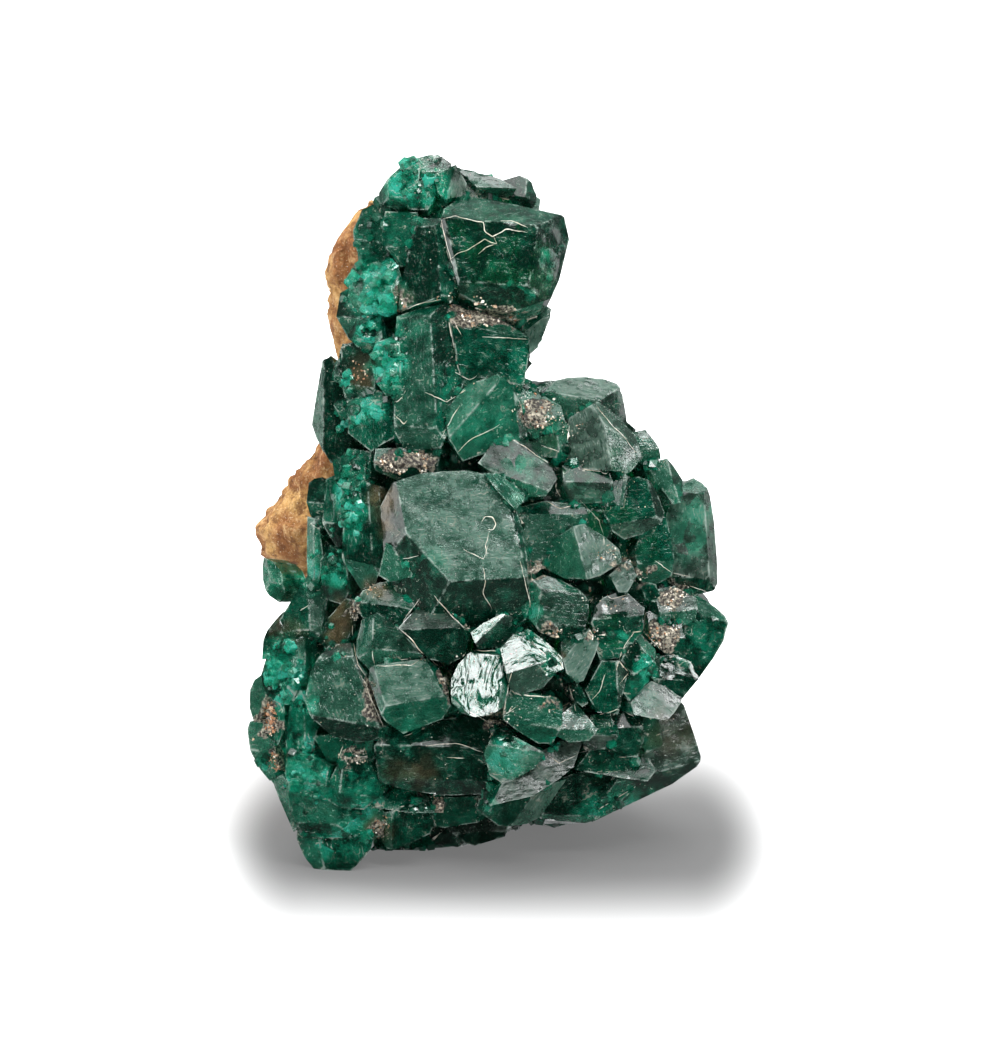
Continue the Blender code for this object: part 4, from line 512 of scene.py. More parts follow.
# Skin of a crystal facet, from textures in object space and in the facet's own millimetres: lines
# and grooves along its longest side, growth steps, pits, white flecks, fine cracks, a cloudy mask,
# cells that each tilt their own way like a druse's small faces, and a broken crust. Noise scales
# are in cells per metre in object space and per millimetre on the facet.
def buildFacetSkin():
    tree = bpy.data.node_groups.new("facetSkin", "ShaderNodeTree")
    for name in ("Object", "Facet"):
        tree.interface.new_socket(name=name, in_out="INPUT", socket_type="NodeSocketVector")
    for name in ("Lines", "Druse", "Shine", "Crust"):
        tree.interface.new_socket(name=name, in_out="INPUT", socket_type="NodeSocketFloat")
    given = tree.nodes.new("NodeGroupInput").outputs
    spot, facet = given["Object"], given["Facet"]
    lined, drusy, shine, crust = (Value(tree, given[name]) for name in ("Lines", "Druse", "Shine", "Crust"))
    cloud = noiseOf(tree, spot, 650.0, 3.0, 0.68).ranged(0.38, 0.68)
    lines = noiseOf(tree, scaledBy(tree, facet, (0.22, 1.0, 1.0)), 3.2, 2.0, 0.7)
    grooves = lines.ranged(0.55, 0.66)
    grain = noiseOf(tree, spot, 3600.0, 2.0, 0.65)
    swell = noiseOf(tree, spot, 900.0, 1.0, 0.5)
    steps = (swell * 7.0).math("SNAP", 1.0)
    cells = place(tree, "ShaderNodeTexVoronoi", {"Vector": spot, "Scale": 820.0}).outputs
    tilt = vectors(tree, "SUBTRACT", cells["Color"], (0.5, 0.5, 0.5))
    away = vectors(tree, "SUBTRACT", spot, cells["Position"])
    faces = Value(tree, vectors(tree, "DOT_PRODUCT", tilt, away)) * 9000.0 * drusy
    cell = Value(tree, tilt)
    ripple = noiseOf(tree, scaledBy(tree, facet, (0.5, 1.0, 1.0)), 0.6, 2.0, 0.45, 0.8)
    flecks = noiseOf(tree, scaledBy(tree, facet, (0.45, 1.7, 1.0)), 2.6, 3.0, 0.7)
    flecks = flecks.ranged(0.585, 0.64) * cloud.ranged(0.3, 0.7)
    cracks = (swell + -0.5).math("ABSOLUTE", 0.0).ranged(0.008, 0.022, 1.0, 0.0) * cloud.ranged(0.60, 0.85)
    crusted = (cloud * 0.7 + crust).ranged(0.75, 0.95) * crust.ranged(0.1, 0.3)
    bits = (cell * 0.12 + grain).ranged(0.44, 0.60)
    height = steps * 0.5 + lines.ranged(0.4, 0.65) * lined * cloud + grooves * lined * -1.2
    height = height + grain * 0.3 + flecks * 0.5 + faces + crusted * bits * 4.0
    height = height * shine.ranged(0.0, 1.0, 1.0, 0.35) + ripple * shine * 11.0
    made = {"Height": height, "Cloud": cloud, "Specks": grain.ranged(0.64, 0.73), "Cracks": cracks,
            "Flecks": flecks, "Cell": cell, "Grooves": grooves, "Crusted": crusted, "Bits": bits}
    for name in made:
        tree.interface.new_socket(name=name, in_out="OUTPUT", socket_type="NodeSocketFloat")
    place(tree, "NodeGroupOutput", made)
    return tree


facetSkin = buildFacetSkin()

crystalLook = {
    "deep": (0.0008, 0.026, 0.014, 1.0),
    "deepOther": (0.003, 0.20, 0.108, 1.0),
    "emerald": (0.006, 0.34, 0.19, 1.0),
    # Grey-green of frosted facets: partly an etched, matte surface, partly painted sheen standing in for
    # reflected light
    "turquoise": (0.05, 0.60, 0.43, 1.0),
    "frostAndSheen": (0.21, 0.33, 0.26, 1.0),
    # Pale green of ridges and flecks: partly wear, partly painted highlights and glints where edges and flecks
    # catch light
    "worn": (0.60, 0.73, 0.65, 1.0),
    "tan": (0.30, 0.20, 0.10, 1.0),
    "cream": (0.92, 0.84, 0.68, 1.0),
    "crustDark": (0.045, 0.032, 0.022, 1.0),
    "crustPale": (0.88, 0.78, 0.60, 1.0),
    "transmission": 0.6,
    "ior": 1.67,
    "absorption": (0.30, 0.86, 0.70, 1.0),   # colour left in the volume's own terms
    "density": 430.0,                        # per metre
}


def buildCrystalMaterial(name, absorbing):
    # Darkest first: clear green, bright patches of painted glow, frost with painted sheen, stains, worn edges
    # and flecks with painted highlights, dust and crust.
    made, tree, spot = newMaterial(name)
    look = crystalLook
    frostAndSheen, tone, bright, tan, seam, ridge, shine, crust = (
        attribute(tree, name) for name in ("frostAndSheen", "tone", "bright", "tan", "seam", "ridge", "shine", "crust"))
    skin = place(tree, "ShaderNodeGroup", {
        "Object": spot["Object"], "Facet": spot["UV"], "Shine": shine, "Crust": crust,
        "Druse": bright * 0.65 + 0.05, "Lines": (tone * 0.7 + 0.1).most(frostAndSheen.ranged(0.6, 0.9, 0.0, 1.4)),
    }, node_tree=facetSkin).outputs
    height, cloud, specks, cell, fleck, groove, crack, crusted = (
        Value(tree, skin[name])
        for name in ("Height", "Cloud", "Specks", "Cell", "Flecks", "Grooves", "Cracks", "Crusted"))
    mottle = cell * 1.5 + 0.38 + cloud * 0.8
    # The patch paints glow: lighter emerald and turquoise where light shines through thin, broken crystal and
    # druse
    patch = bright * mottle
    # Veil on frosted facets: partly their etched paleness, partly painted sheen
    sheenVeil = frostAndSheen.ranged(0.15, 1.0) * (cloud * 0.6 + 0.25) * groove.ranged(0.0, 1.0, 1.0, 0.35)
    stain = tan * mottle.ranged(0.3, 1.1, 0.3, 1.0)
    dust = (specks * seam.ranged(0.0, 1.6, 0.95, 0.22)).most(crack * seam.ranged(0.2, 2.2, 0.9, 0.22))
    color = blend(tree, (tone * 0.6 + cloud * 0.45).ranged(0.2, 0.95), look["deep"], look["deepOther"])
    for share, name in (
            (patch.ranged(0.08, 0.6), "emerald"), (patch.ranged(0.5, 1.05), "turquoise"),
            (sheenVeil * 0.65, "frostAndSheen"), (stain * 0.85, "tan"),
            # Pale ridge lines and flecks: partly wear, partly painted highlights where edges and flecks catch
            # light
            (ridge.ranged(0.0, 0.16, 0.85, 0.0) * cloud.ranged(0.3, 0.8), "worn"),
            (fleck * frostAndSheen.most(bright).ranged(0.0, 0.7, 0.25, 0.8), "worn"), (dust * 0.85, "cream")):
        color = blend(tree, share, color, look[name])
    color = blend(tree, crusted, color, blend(tree, skin["Bits"], look["crustDark"], look["crustPale"]))
    rough = frostAndSheen * (cloud * 0.24 + 0.20) + (cloud * 0.08 + 0.05) + dust.most(crusted) * 0.4
    relief = height * frostAndSheen.most(bright.most(crusted)).ranged(0.0, 0.8, 0.22, 1.0)
    finishMaterial(tree, {
        "Base Color": color, "Roughness": rough, "Normal": bumpOf(tree, 0.7, 0.00012, relief),
        "IOR": look["ior"], "Transmission Weight": look["transmission"],
    }, {"Color": look["absorption"], "Density": look["density"]} if absorbing else None)
    return made


crystalMaterial = buildCrystalMaterial("dioptaseCrystal", True)
druseMaterial = buildCrystalMaterial("dioptaseDruse", False)
cluster, clusterMade = dressCrystal("crystalCluster", "dioptase_crystals", crystalMaterial)
dressCrystal("leftEdgeCrystal", "left_edge_crystal", crystalMaterial)
for number in (1, 2, 3, 4):
    dressCrystal("rearCrystal" + str(number), "rear_crystal_" + str(number), crystalMaterial)

# Rock: the solid's facets cut finer three times, then pushed in and out by noise.
rock = {
    "cuts": 3,
    "lump": 0.75,       # millimetres
    "lumpSize": 3.4,
    "grit": 0.26,
    "gritSize": 0.8,
    "ridge": 0.35,      # how far the crests between hollows stand out, as a share of a lump
    "sink": 0.1,
    "inMost": -1.6,
    "outMost": 0.28,    # the crystals start 0.3 mm away
    "floorKeep": 0.6,   # relief fades to nothing this far above the flat underside
    "held": ("left_edge_crystal", "rear_crystal_1", "rear_crystal_2", "rear_crystal_3", "rear_crystal_4"),
    "heldReach": 3.0,   # around these crystals the rock swells to close the gap
}


def cutFiner(points, triangles):
    # Every triangle becomes four, with shared middle points.
    ends = np.sort(np.concatenate([triangles[:, [0, 1]], triangles[:, [1, 2]], triangles[:, [2, 0]]]), axis=1)
    known, index = np.unique(ends, axis=0, return_inverse=True)
    index = index.reshape(-1)
    middle = points[known].mean(1)
    n, m = len(triangles), len(points)
    ab, bc, ca = m + index[:n], m + index[n:2 * n], m + index[2 * n:]
    a, b, c = triangles.T
    quarters = ((a, ab, ca), (ab, b, bc), (ca, bc, c), (ab, bc, ca))
    finer = np.concatenate([np.stack(rows, axis=1) for rows in quarters])
    return np.concatenate([points, middle]), finer


def meshNormals(points, triangles):
    # Each point's normal is the sum of the normals of the triangles that meet there.
    total = np.zeros_like(points)
    for corner in range(3):
        np.add.at(total, triangles[:, corner], crossOf(points, triangles))
    return oneLong(total)


def mergedSolid(node):
    body = bmesh.new()
    body.from_mesh(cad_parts[node].data)
    bmesh.ops.remove_doubles(body, verts=body.verts, dist=0.0005 * mm)
    bmesh.ops.triangulate(body, faces=body.faces)
    points = np.array([v.co for v in body.verts]) / mm
    triangles = np.array([[v.index for v in f.verts] for f in body.faces])
    body.free()
    return points, triangles


rockLook = {
    "brown": (0.30, 0.12, 0.04, 1.0),
    "ochre": (0.56, 0.32, 0.11, 1.0),
    "dark": (0.16, 0.06, 0.022, 1.0),
    "tan": (0.68, 0.45, 0.21, 1.0),
    "pale": (0.82, 0.66, 0.42, 1.0),
    "pit": (0.14, 0.065, 0.03, 1.0),
}


def buildRockMaterial():
    made, tree, spot = newMaterial("limoniteRock")
    spot = spot["Object"]
    large = noiseOf(tree, spot, 210.0, 4.0, 0.6, 0.4)
    medium = noiseOf(tree, spot, 900.0, 5.0, 0.7)
    fine = noiseOf(tree, spot, 4200.0, 4.0, 0.7)
    color = rockLook["brown"]
    for share, name in (
            (large.ranged(0.40, 0.60), "ochre"), (medium.ranged(0.38, 0.52, 0.85, 0.0), "dark"),
            (medium.ranged(0.54, 0.68, 0.0, 0.8), "tan"), (fine.ranged(0.58, 0.70, 0.0, 0.7), "pale"),
            (fine.ranged(0.34, 0.44, 0.7, 0.0), "pit")):
        color = blend(tree, share, color, rockLook[name])
    pits = Value(tree, place(tree, "ShaderNodeTexVoronoi", {"Vector": spot, "Scale": 1300.0}).outputs[0])
    height = medium + fine * 0.5 + pits.ranged(0.0, 0.35) * 0.5
    finishMaterial(tree, {
        "Base Color": color, "Roughness": fine.ranged(0.3, 0.7, 0.7, 0.95), "Specular IOR Level": 0.3,
        "Normal": bumpOf(tree, 1.0, 0.00045, height)})
    return made


rockMaterial = buildRockMaterial()


def dressRock():
    points, triangles = mergedSolid("matrix")
    for cut in range(rock["cuts"]):
        points, triangles = cutFiner(points, triangles)
    normals = meshNormals(points, triangles)
    lumps = rock["lump"] * layeredNoise(points, rock["lumpSize"], 3, 41)
    grit = rock["grit"] * layeredNoise(points, rock["gritSize"], 2, 47)
    ridges = np.abs(layeredNoise(points, rock["lumpSize"] * 0.6, 2, 53))
    push = lumps + grit + rock["lump"] * (rock["ridge"] - ridges) - rock["sink"]
    push = np.clip(push, rock["inMost"], rock["outMost"])
    for node in rock["held"]:
        low, high = (np.array(corner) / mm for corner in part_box(node))
        near = np.exp(-(np.linalg.norm(points - (low + high) / 2.0, axis=1) / rock["heldReach"]) ** 2)
        push = push * (1.0 - near) + rock["outMost"] * near
    keep = np.clip(points[:, 2] / rock["floorKeep"], 0.0, 1.0)
    points = points + normals * (push * keep)[:, None]
    points[:, 2] = np.maximum(points[:, 2], 0.0)
    piece = makePiece("limoniteRock", points, triangles, rockMaterial, "matrix_rock")
    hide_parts("matrix")
    print("limoniteRock", len(triangles), "triangles")
    return piece


rockPiece = dressRock()

# Everything that lies on the crystals is placed by a ray from the camera's side.
def surfaceOf(piece):
    return BVHTree.FromPolygons((np.array([v.co for v in piece.data.vertices]) / mm).tolist(),
                                [tuple(p.vertices) for p in piece.data.polygons])


surfaces = {"cluster": surfaceOf(cluster), "rock": surfaceOf(rockPiece)}


def landOn(x, y, names=("cluster", "rock")):
    # The first surface point under each pixel, its normal, and whether there is one.
    starts = fromPixels(x, y, picture["inFront"])
    count = len(starts)
    places, normals, found = np.zeros((count, 3)), np.zeros((count, 3)), np.zeros(count, bool)
    down = Vector(-viewAxes[2])
    for index, start in enumerate(starts):
        best = None
        for name in names:
            hit = surfaces[name].ray_cast(Vector(start), down)
            if hit[2] is not None and (best is None or hit[3] < best[3]):
                best = hit
        if best is not None:
            places[index], normals[index], found[index] = best[0], best[1], True
    return places, normals, found


def buildFilmMaterial():
    made, tree, spot = newMaterial("creamFilm")
    large = noiseOf(tree, spot["Object"], 480.0, 3.0, 0.6)
    fine = noiseOf(tree, spot["Object"], 3600.0, 5.0, 0.7)
    color = blend(tree, large.ranged(0.38, 0.62), (0.66, 0.57, 0.43, 1.0), (0.86, 0.83, 0.74, 1.0))
    color = blend(tree, fine.ranged(0.30, 0.46, 0.85, 0.0), color, (0.16, 0.11, 0.06, 1.0))
    color = blend(tree, fine.ranged(0.58, 0.70, 0.0, 0.8), color, (0.96, 0.94, 0.88, 1.0))
    finishMaterial(tree, {"Base Color": color, "Roughness": fine.ranged(0.3, 0.7, 0.45, 0.85),
                          "Normal": bumpOf(tree, 0.8, 0.00008, fine)})
    return made


filmMaterial = buildFilmMaterial()


def closedStrips(sections):
    # Quads around strips of 4-point cross-sections; the array is strips x rows x 4 x 3. The end
    # rows are single points drawn together, so each strip is closed.
    strips, rows = sections.shape[:2]
    index = np.arange(strips * rows * 4).reshape(strips, rows, 4)
    a, b = index[:, :-1], index[:, 1:]
    quads = np.stack([a, np.roll(a, -1, axis=2), np.roll(b, -1, axis=2), b], axis=-1).reshape(-1, 4)
    first, last = index[:, 0], index[:, -1][:, ::-1]
    return sections.reshape(-1, 3), np.concatenate([quads, first[:, ::-1], last[:, ::-1]])


# Film: a low fillet in the hollow between two crystals. Its cross-section has a point up each
# side, one raised between them and one sunk in the solid; its width follows a noise along the seam.
film = {
    "rows": 11,
    "width": 0.20,        # millimetres, at its widest
    "share": 0.42,        # of the seams outside the named places
    "patch": 0.9,         # size of the breaks along a seam
    "least": 0.7,         # shorter seams get none
    "namedShare": 0.9,    # of the seams in the named places
    "namedWidth": 1.3,    # how wide they are there and elsewhere
    "otherWidth": 0.75,
    "endWidth": 0.002,
    "fullFrom": 0.05,     # from this width on, the film has its full thickness
    "lift": 0.02,
    "fillet": 0.40,
    "sunk": 0.10,
    "places": [
        (483, 315, 50, 18), (410, 463, 36, 14), (538, 412, 30, 20), (540, 568, 14, 14), (642, 575, 12, 10),
        (672, 598, 20, 20), (665, 635, 20, 16), (445, 678, 8, 18), (500, 720, 20, 14), (355, 612, 8, 16),
        (373, 700, 14, 28), (595, 634, 8, 10), (355, 755, 20, 12), (436, 800, 14, 10), (620, 560, 24, 18),
        (512, 690, 16, 30), (425, 750, 30, 10), (560, 600, 30, 20), (600, 470, 30, 24), (450, 300, 24, 14),
        (640, 650, 40, 40), (430, 640, 40, 24), (560, 700, 40, 16), (600, 740, 30, 20), (480, 440, 30, 20),
    ],
}


def seamEdges(least):
    # The cluster's inward folds: both ends, then the way into each of the two facets and its normal.
    rows = []
    for edge, kind in zip(clusterMade["body"].edges, clusterMade["kinds"]):
        if kind != -1 or edge.calc_length() < least:
            continue
        start, end = (np.array(v.co) for v in edge.verts)
        along = (end - start) / np.linalg.norm(end - start)
        row = [start, end]
        for face in edge.link_faces:
            normal = np.array(face.normal)
            away = np.cross(normal, along)
            if away @ (np.array(face.calc_center_median()) - start) < 0.0:
                away = -away
            row.extend([away, normal])
        rows.append(row)
    return [np.array(column) for column in zip(*rows)]


def seamFilm():
    a, b, sideA, normalA, sideB, normalB = seamEdges(film["least"])
    middle = (a + b) / 2.0
    x, y = toPixels(middle)[:2]
    chance = hashed(np.round(middle * 50.0).astype(np.int64), 7) * 0.5 + 0.5
    wanted = chance < film["share"]
    named = np.zeros(len(x), bool)
    for spotX, spotY, wide, high in film["places"]:
        named |= (np.abs(x - spotX) < wide) & (np.abs(y - spotY) < high)
    wanted |= named & (chance < film["namedShare"])
    a, b, sideA, sideB, normalA, normalB = (v[wanted][:, None] for v in (a, b, sideA, sideB, normalA, normalB))
    t = np.linspace(0.0, 1.0, film["rows"])
    path = a + (b - a) * t[None, :, None]
    patch = layeredNoise(path.reshape(-1, 3), film["patch"], 3, 61) * 1.5 + 0.25
    patch = np.clip(patch, 0.03, 1.0).reshape(len(a), -1)
    grow = np.where(named[wanted], film["namedWidth"], film["otherWidth"])[:, None]
    width = film["width"] * patch * np.sqrt(np.sin(np.pi * t) + 1e-9) * grow
    width[:, [0, -1]] = film["endWidth"]
    w = width[..., None]
    thick = np.minimum(w / film["fullFrom"], 1.0)
    up = oneLong(normalA + normalB)
    sections = np.stack([
        path + sideA * w + normalA * film["lift"] * thick,
        path + (sideA + sideB) * w * film["fillet"] + up * film["lift"] * thick,
        path + sideB * w + normalB * film["lift"] * thick,
        path - up * film["sunk"] * thick,
    ], axis=2)
    return closedStrips(sections)


def turnOutwards(piece):
    body = bmesh.new()
    body.from_mesh(piece.data)
    bmesh.ops.recalc_face_normals(body, faces=body.faces)
    body.to_mesh(piece.data)
    body.free()
    print(piece.name, len(piece.data.polygons), "faces")


turnOutwards(makePiece("seamFilm", *seamFilm(), filmMaterial, "dioptase"))

# Veins: thin raised lines that the photo shows, each a run of pixels with a width in millimetres.
veins = {
    "step": 0.16,
    "jump": 0.7,         # a vein stops where the surface steps back by more than this
    "wander": 0.05,
    "thin": 0.42,
    "sway": 22.0,        # pixels of side step for one millimetre of wander
    "endWidth": 0.003,
    "rise": 0.55,        # of a vein's middle, for its width
    "lift": 0.015,
    "lines": [
        (0.14, [(441, 221), (455, 218), (482, 224), (484, 232), (492, 238), (504, 230), (527, 233)]),
        (0.12, [(441, 221), (445, 235), (448, 248), (451, 264)]),
        (0.10, [(478, 255), (486, 248), (495, 245)]),
        (0.10, [(448, 262), (458, 254), (470, 250), (484, 240), (497, 246), (494, 236)]),
        (0.12, [(500, 222), (512, 222), (528, 228)]),
        (0.10, [(400, 312), (420, 304), (440, 300)]),
        (0.10, [(452, 318), (462, 335)]),
        (0.10, [(482, 337), (510, 338), (530, 340)]),
        (0.09, [(398, 560), (420, 555)]),
        (0.10, [(483, 565), (486, 580), (484, 592), (491, 608)]),
        (0.07, [(463, 548), (483, 560), (488, 545)]),
        (0.10, [(510, 438), (528, 448), (547, 463)]),
        (0.12, [(400, 627), (410, 612), (420, 598)]),
        (0.12, [(434, 595), (448, 610), (463, 627)]),
        (0.11, [(400, 627), (425, 655), (438, 665)]),
        (0.12, [(372, 650), (376, 665), (412, 664), (425, 655)]),
        (0.12, [(460, 660), (466, 652), (475, 649), (502, 651)]),
        (0.12, [(511, 672), (508, 690), (502, 718), (537, 745)]),
        (0.14, [(510, 690), (520, 695), (558, 697)]),
        (0.12, [(425, 745), (455, 742), (487, 752)]),
        (0.10, [(405, 735), (430, 725)]),
        (0.10, [(447, 756), (465, 757)]),
        (0.13, [(633, 632), (643, 631), (645, 613)]),
        (0.12, [(633, 632), (622, 650), (615, 670)]),
        (0.12, [(643, 631), (652, 640), (660, 648)]),
        (0.12, [(618, 660), (629, 672), (620, 682)]),
        (0.12, [(655, 735), (670, 730)]),
        (0.12, [(352, 625), (358, 665), (366, 675)]),
        (0.16, [(362, 675), (372, 700), (384, 727)]),
        (0.11, [(335, 770), (339, 757), (343, 745)]),
        (0.10, [(300, 610), (310, 604)]),
        (0.11, [(690, 585), (710, 595), (728, 612)]),
        (0.10, [(545, 500), (560, 508), (575, 505)]),
        (0.10, [(580, 500), (600, 520), (604, 545)]),
        (0.12, [(540, 445), (560, 452), (580, 470)]),
        (0.10, [(455, 455), (470, 440), (500, 425)]),
        (0.10, [(440, 440), (452, 420), (460, 405)]),
        (0.12, [(595, 405), (612, 425), (636, 452)]),
        (0.10, [(520, 560), (528, 590), (530, 612)]),
        (0.11, [(560, 660), (570, 690), (575, 710)]),
        (0.10, [(590, 700), (600, 690), (606, 672)]),
        (0.10, [(655, 560), (672, 572), (690, 576)]),
        (0.10, [(385, 395), (398, 402), (404, 396)]),
        (0.10, [(395, 415), (405, 424), (408, 420)]),
        (0.10, [(455, 372), (470, 380), (478, 376)]),
        (0.10, [(425, 392), (448, 402), (465, 390)]),
        (0.16, [(482, 522), (485, 517), (492, 518), (496, 524), (493, 530), (487, 530)]),
        (0.10, [(489, 532), (486, 545), (488, 556)]),
        (0.09, [(600, 715), (618, 708), (634, 716)]),
        (0.09, [(548, 755), (560, 762), (590, 748)]),
        (0.10, [(470, 710), (490, 722), (516, 706)]),
        (0.10, [(600, 590), (612, 598), (628, 594)]),
    ],
}


def veinSections():
    # Along each line: a cross-section of left, top, right and sunken point, as wide as a noise says.
    strips = []
    for width, corners in veins["lines"]:
        width = width * veins["thin"]
        corners = np.array(corners, float)
        lengths = np.concatenate([[0.0], np.cumsum(np.linalg.norm(np.diff(corners, axis=0), axis=1))])
        count = max(6, int(lengths[-1] / picture["pixelsPerMm"] / veins["step"]))
        t = np.linspace(0.0, lengths[-1], count)
        x, y = np.interp(t, lengths, corners[:, 0]), np.interp(t, lengths, corners[:, 1])
        sway = np.stack([t * 0.07, np.full(count, width * 900.0), np.zeros(count)], axis=1)
        x = x + layeredNoise(sway, 1.0, 3, 71) * veins["wander"] * veins["sway"]
        y = y + layeredNoise(sway, 1.0, 3, 73) * veins["wander"] * veins["sway"]
        places, normals, found = landOn(x, y)
        depth = places @ viewAxes[2]
        broken = np.flatnonzero((np.abs(np.diff(depth)) > veins["jump"]) | ~found[1:] | ~found[:-1]) + 1
        for part in np.split(np.arange(count), broken):
            if len(part) < 4:
                continue
            path, up = places[part], normals[part]
            aside = oneLong(np.cross(up, oneLong(np.gradient(path, axis=0))))
            taper = np.sqrt(np.sin(np.pi * np.linspace(0.0, 1.0, len(part))) + 1e-6)
            wide = width * (0.45 + 0.75 * np.abs(layeredNoise(path, 0.5, 2, 79))) * taper
            wide[[0, -1]] = veins["endWidth"]
            w = wide[:, None]
            top = path + up * (w * veins["rise"] + veins["lift"])
            strips.append(np.stack([path + aside * w, top, path - aside * w, path - up * w], axis=1))
    return strips


def joinStrips(strips):
    points, faces, count = [], [], 0
    for strip in strips:
        made, quads = closedStrips(strip[None])
        points.append(made)
        faces.append(quads + count)
        count += len(made)
    return np.concatenate(points), np.concatenate(faces)


turnOutwards(makePiece("creamVeins", *joinStrips(veinSections()), filmMaterial, "dioptase"))

# Grains: small angular bodies of 14 corners and 24 faces, laid where the photo shows rubble.
# Each place is x, y, half width, half height in pixels, how many, least and most size, paleness.
grains = {
    "sink": 0.55,
    "share": 0.45,
    "clump": 0.9,
    "bareBelow": -0.12,      # where the clump noise is lower there are none
    "wear": (0.7, 1.3),      # how far each corner stands out
    "stretch": (0.4, 1.3),   # along each axis
    "paleSpread": 0.26,
    "places": [
        (483, 315, 36, 13, 240, 0.07, 0.21, 0.65), (410, 463, 30, 12, 240, 0.06, 0.19, 0.69),
        (538, 412, 26, 18, 208, 0.06, 0.16, 0.69), (400, 298, 8, 14, 80, 0.06, 0.14, 0.39),
        (361, 370, 10, 14, 64, 0.07, 0.15, 0.26), (538, 568, 9, 12, 80, 0.05, 0.12, 0.77),
        (642, 575, 8, 8, 64, 0.05, 0.12, 0.77), (677, 598, 14, 18, 176, 0.06, 0.16, 0.77),
        (665, 635, 18, 14, 176, 0.06, 0.17, 0.60), (445, 678, 5, 16, 80, 0.05, 0.12, 0.77),
        (500, 720, 12, 8, 96, 0.05, 0.11, 0.86), (515, 715, 12, 10, 64, 0.04, 0.09, 0.86),
        (355, 612, 5, 12, 96, 0.05, 0.11, 0.86), (595, 634, 6, 8, 80, 0.05, 0.12, 0.73),
        (355, 755, 16, 9, 112, 0.04, 0.10, 0.82), (270, 719, 8, 18, 240, 0.08, 0.22, 0.21),
        (254, 731, 5, 9, 80, 0.07, 0.17, 0.26), (275, 765, 6, 14, 112, 0.07, 0.16, 0.21),
        (381, 828, 10, 14, 96, 0.06, 0.14, 0.26), (435, 803, 10, 8, 64, 0.06, 0.12, 0.73),
        (378, 591, 15, 9, 80, 0.05, 0.12, 0.43), (552, 630, 9, 8, 80, 0.06, 0.14, 0.56),
        (620, 560, 24, 20, 144, 0.05, 0.12, 0.69), (460, 300, 24, 8, 96, 0.05, 0.12, 0.52),
        (560, 425, 24, 14, 96, 0.05, 0.12, 0.60), (600, 600, 24, 16, 112, 0.05, 0.11, 0.69),
        (560, 700, 30, 12, 96, 0.04, 0.10, 0.77), (430, 640, 40, 24, 33, 0.04, 0.09, 0.77),
        (400, 240, 50, 30, 50, 0.03, 0.08, 0.82), (360, 280, 26, 40, 90, 0.03, 0.09, 0.86),
        (640, 690, 50, 40, 50, 0.03, 0.09, 0.77), (620, 500, 60, 60, 67, 0.03, 0.07, 0.77),
        (500, 400, 60, 40, 61, 0.03, 0.07, 0.77), (450, 760, 80, 30, 50, 0.03, 0.07, 0.77),
        (340, 700, 40, 60, 61, 0.03, 0.07, 0.77), (640, 620, 60, 40, 50, 0.03, 0.08, 0.77),
    ],
}
octants = np.array([(x, y, z) for x in (-1.0, 1.0) for y in (-1.0, 1.0) for z in (-1.0, 1.0)])


def grainShape():
    # A cube's eight corners with a raised point on each side: 14 corners and 24 triangles.
    corners = octants * 0.62
    tips = np.concatenate([np.eye(3), -np.eye(3)])
    points = np.concatenate([corners, tips])
    triangles = []
    for number, tip in enumerate(tips):
        axis = int(np.argmax(np.abs(tip)))
        members = [i for i in range(8) if corners[i][axis] * tip[axis] > 0.0]
        middle, first, second = np.zeros(3), (axis + 1) % 3, (axis + 2) % 3
        members.sort(key=lambda i: math.atan2(corners[i][second], corners[i][first]) * tip[axis])
        for k in range(4):
            triangles.append((members[k], members[(k + 1) % 4], 8 + number))
    return points, np.array(triangles)


def turns(draw, count):
    # Random turns as 3 x 3 tables, from unit quaternions.
    q = draw.normal(size=(count, 4))
    w, x, y, z = (q / np.linalg.norm(q, axis=1)[:, None]).T
    return np.stack([
        np.stack([1 - 2 * (y * y + z * z), 2 * (x * y - z * w), 2 * (x * z + y * w)], axis=1),
        np.stack([2 * (x * y + z * w), 1 - 2 * (x * x + z * z), 2 * (y * z - x * w)], axis=1),
        np.stack([2 * (x * z - y * w), 2 * (y * z + x * w), 1 - 2 * (x * x + y * y)], axis=1)], axis=1)


def scatter(places, draw, share):
    x, y, size, pale = [], [], [], []
    for spotX, spotY, wide, high, count, least, most, paleness in places:
        count = int(count * share)
        angle, radius = draw.uniform(0.0, 2.0 * math.pi, count), np.sqrt(draw.uniform(0.0, 1.0, count))
        x.append(spotX + wide * radius * np.cos(angle))
        y.append(spotY + high * radius * np.sin(angle))
        size.append(least + (most - least) * draw.uniform(0.0, 1.0, count) ** 2)
        pale.append(np.clip(paleness + draw.normal(0.0, grains["paleSpread"], count), 0.0, 1.0))
    return (np.concatenate(v) for v in (x, y, size, pale))


def joinedCopies(copies, triangles):
    # Many copies of one shape as one mesh, kept above the floor; the array is copies x corners x 3.
    count, corners = copies.shape[:2]
    points = copies.reshape(-1, 3)
    points[:, 2] = np.maximum(points[:, 2], 0.0)
    return points, (triangles[None] + (np.arange(count) * corners)[:, None, None]).reshape(-1, 3)


def layGrains():
    draw = np.random.default_rng(23)
    x, y, size, pale = scatter(grains["places"], draw, grains["share"])
    spots, normals, found = landOn(x, y)
    found &= layeredNoise(spots, grains["clump"], 2, 97) > grains["bareBelow"]
    x, y, size, pale, spots, normals = (v[found] for v in (x, y, size, pale, spots, normals))
    shape, triangles = grainShape()
    count = len(spots)
    worn = shape * draw.uniform(*grains["wear"], (count, len(shape), 1))
    stretched = worn * draw.uniform(*grains["stretch"], (count, 1, 3))
    turned = np.einsum("nij,nkj->nki", turns(draw, count), stretched)
    middles = spots + normals * (size * (0.5 - grains["sink"]))[:, None]
    points, faces = joinedCopies(turned * size[:, None, None] + middles[:, None], triangles)
    return points, faces, np.repeat(pale, len(shape))


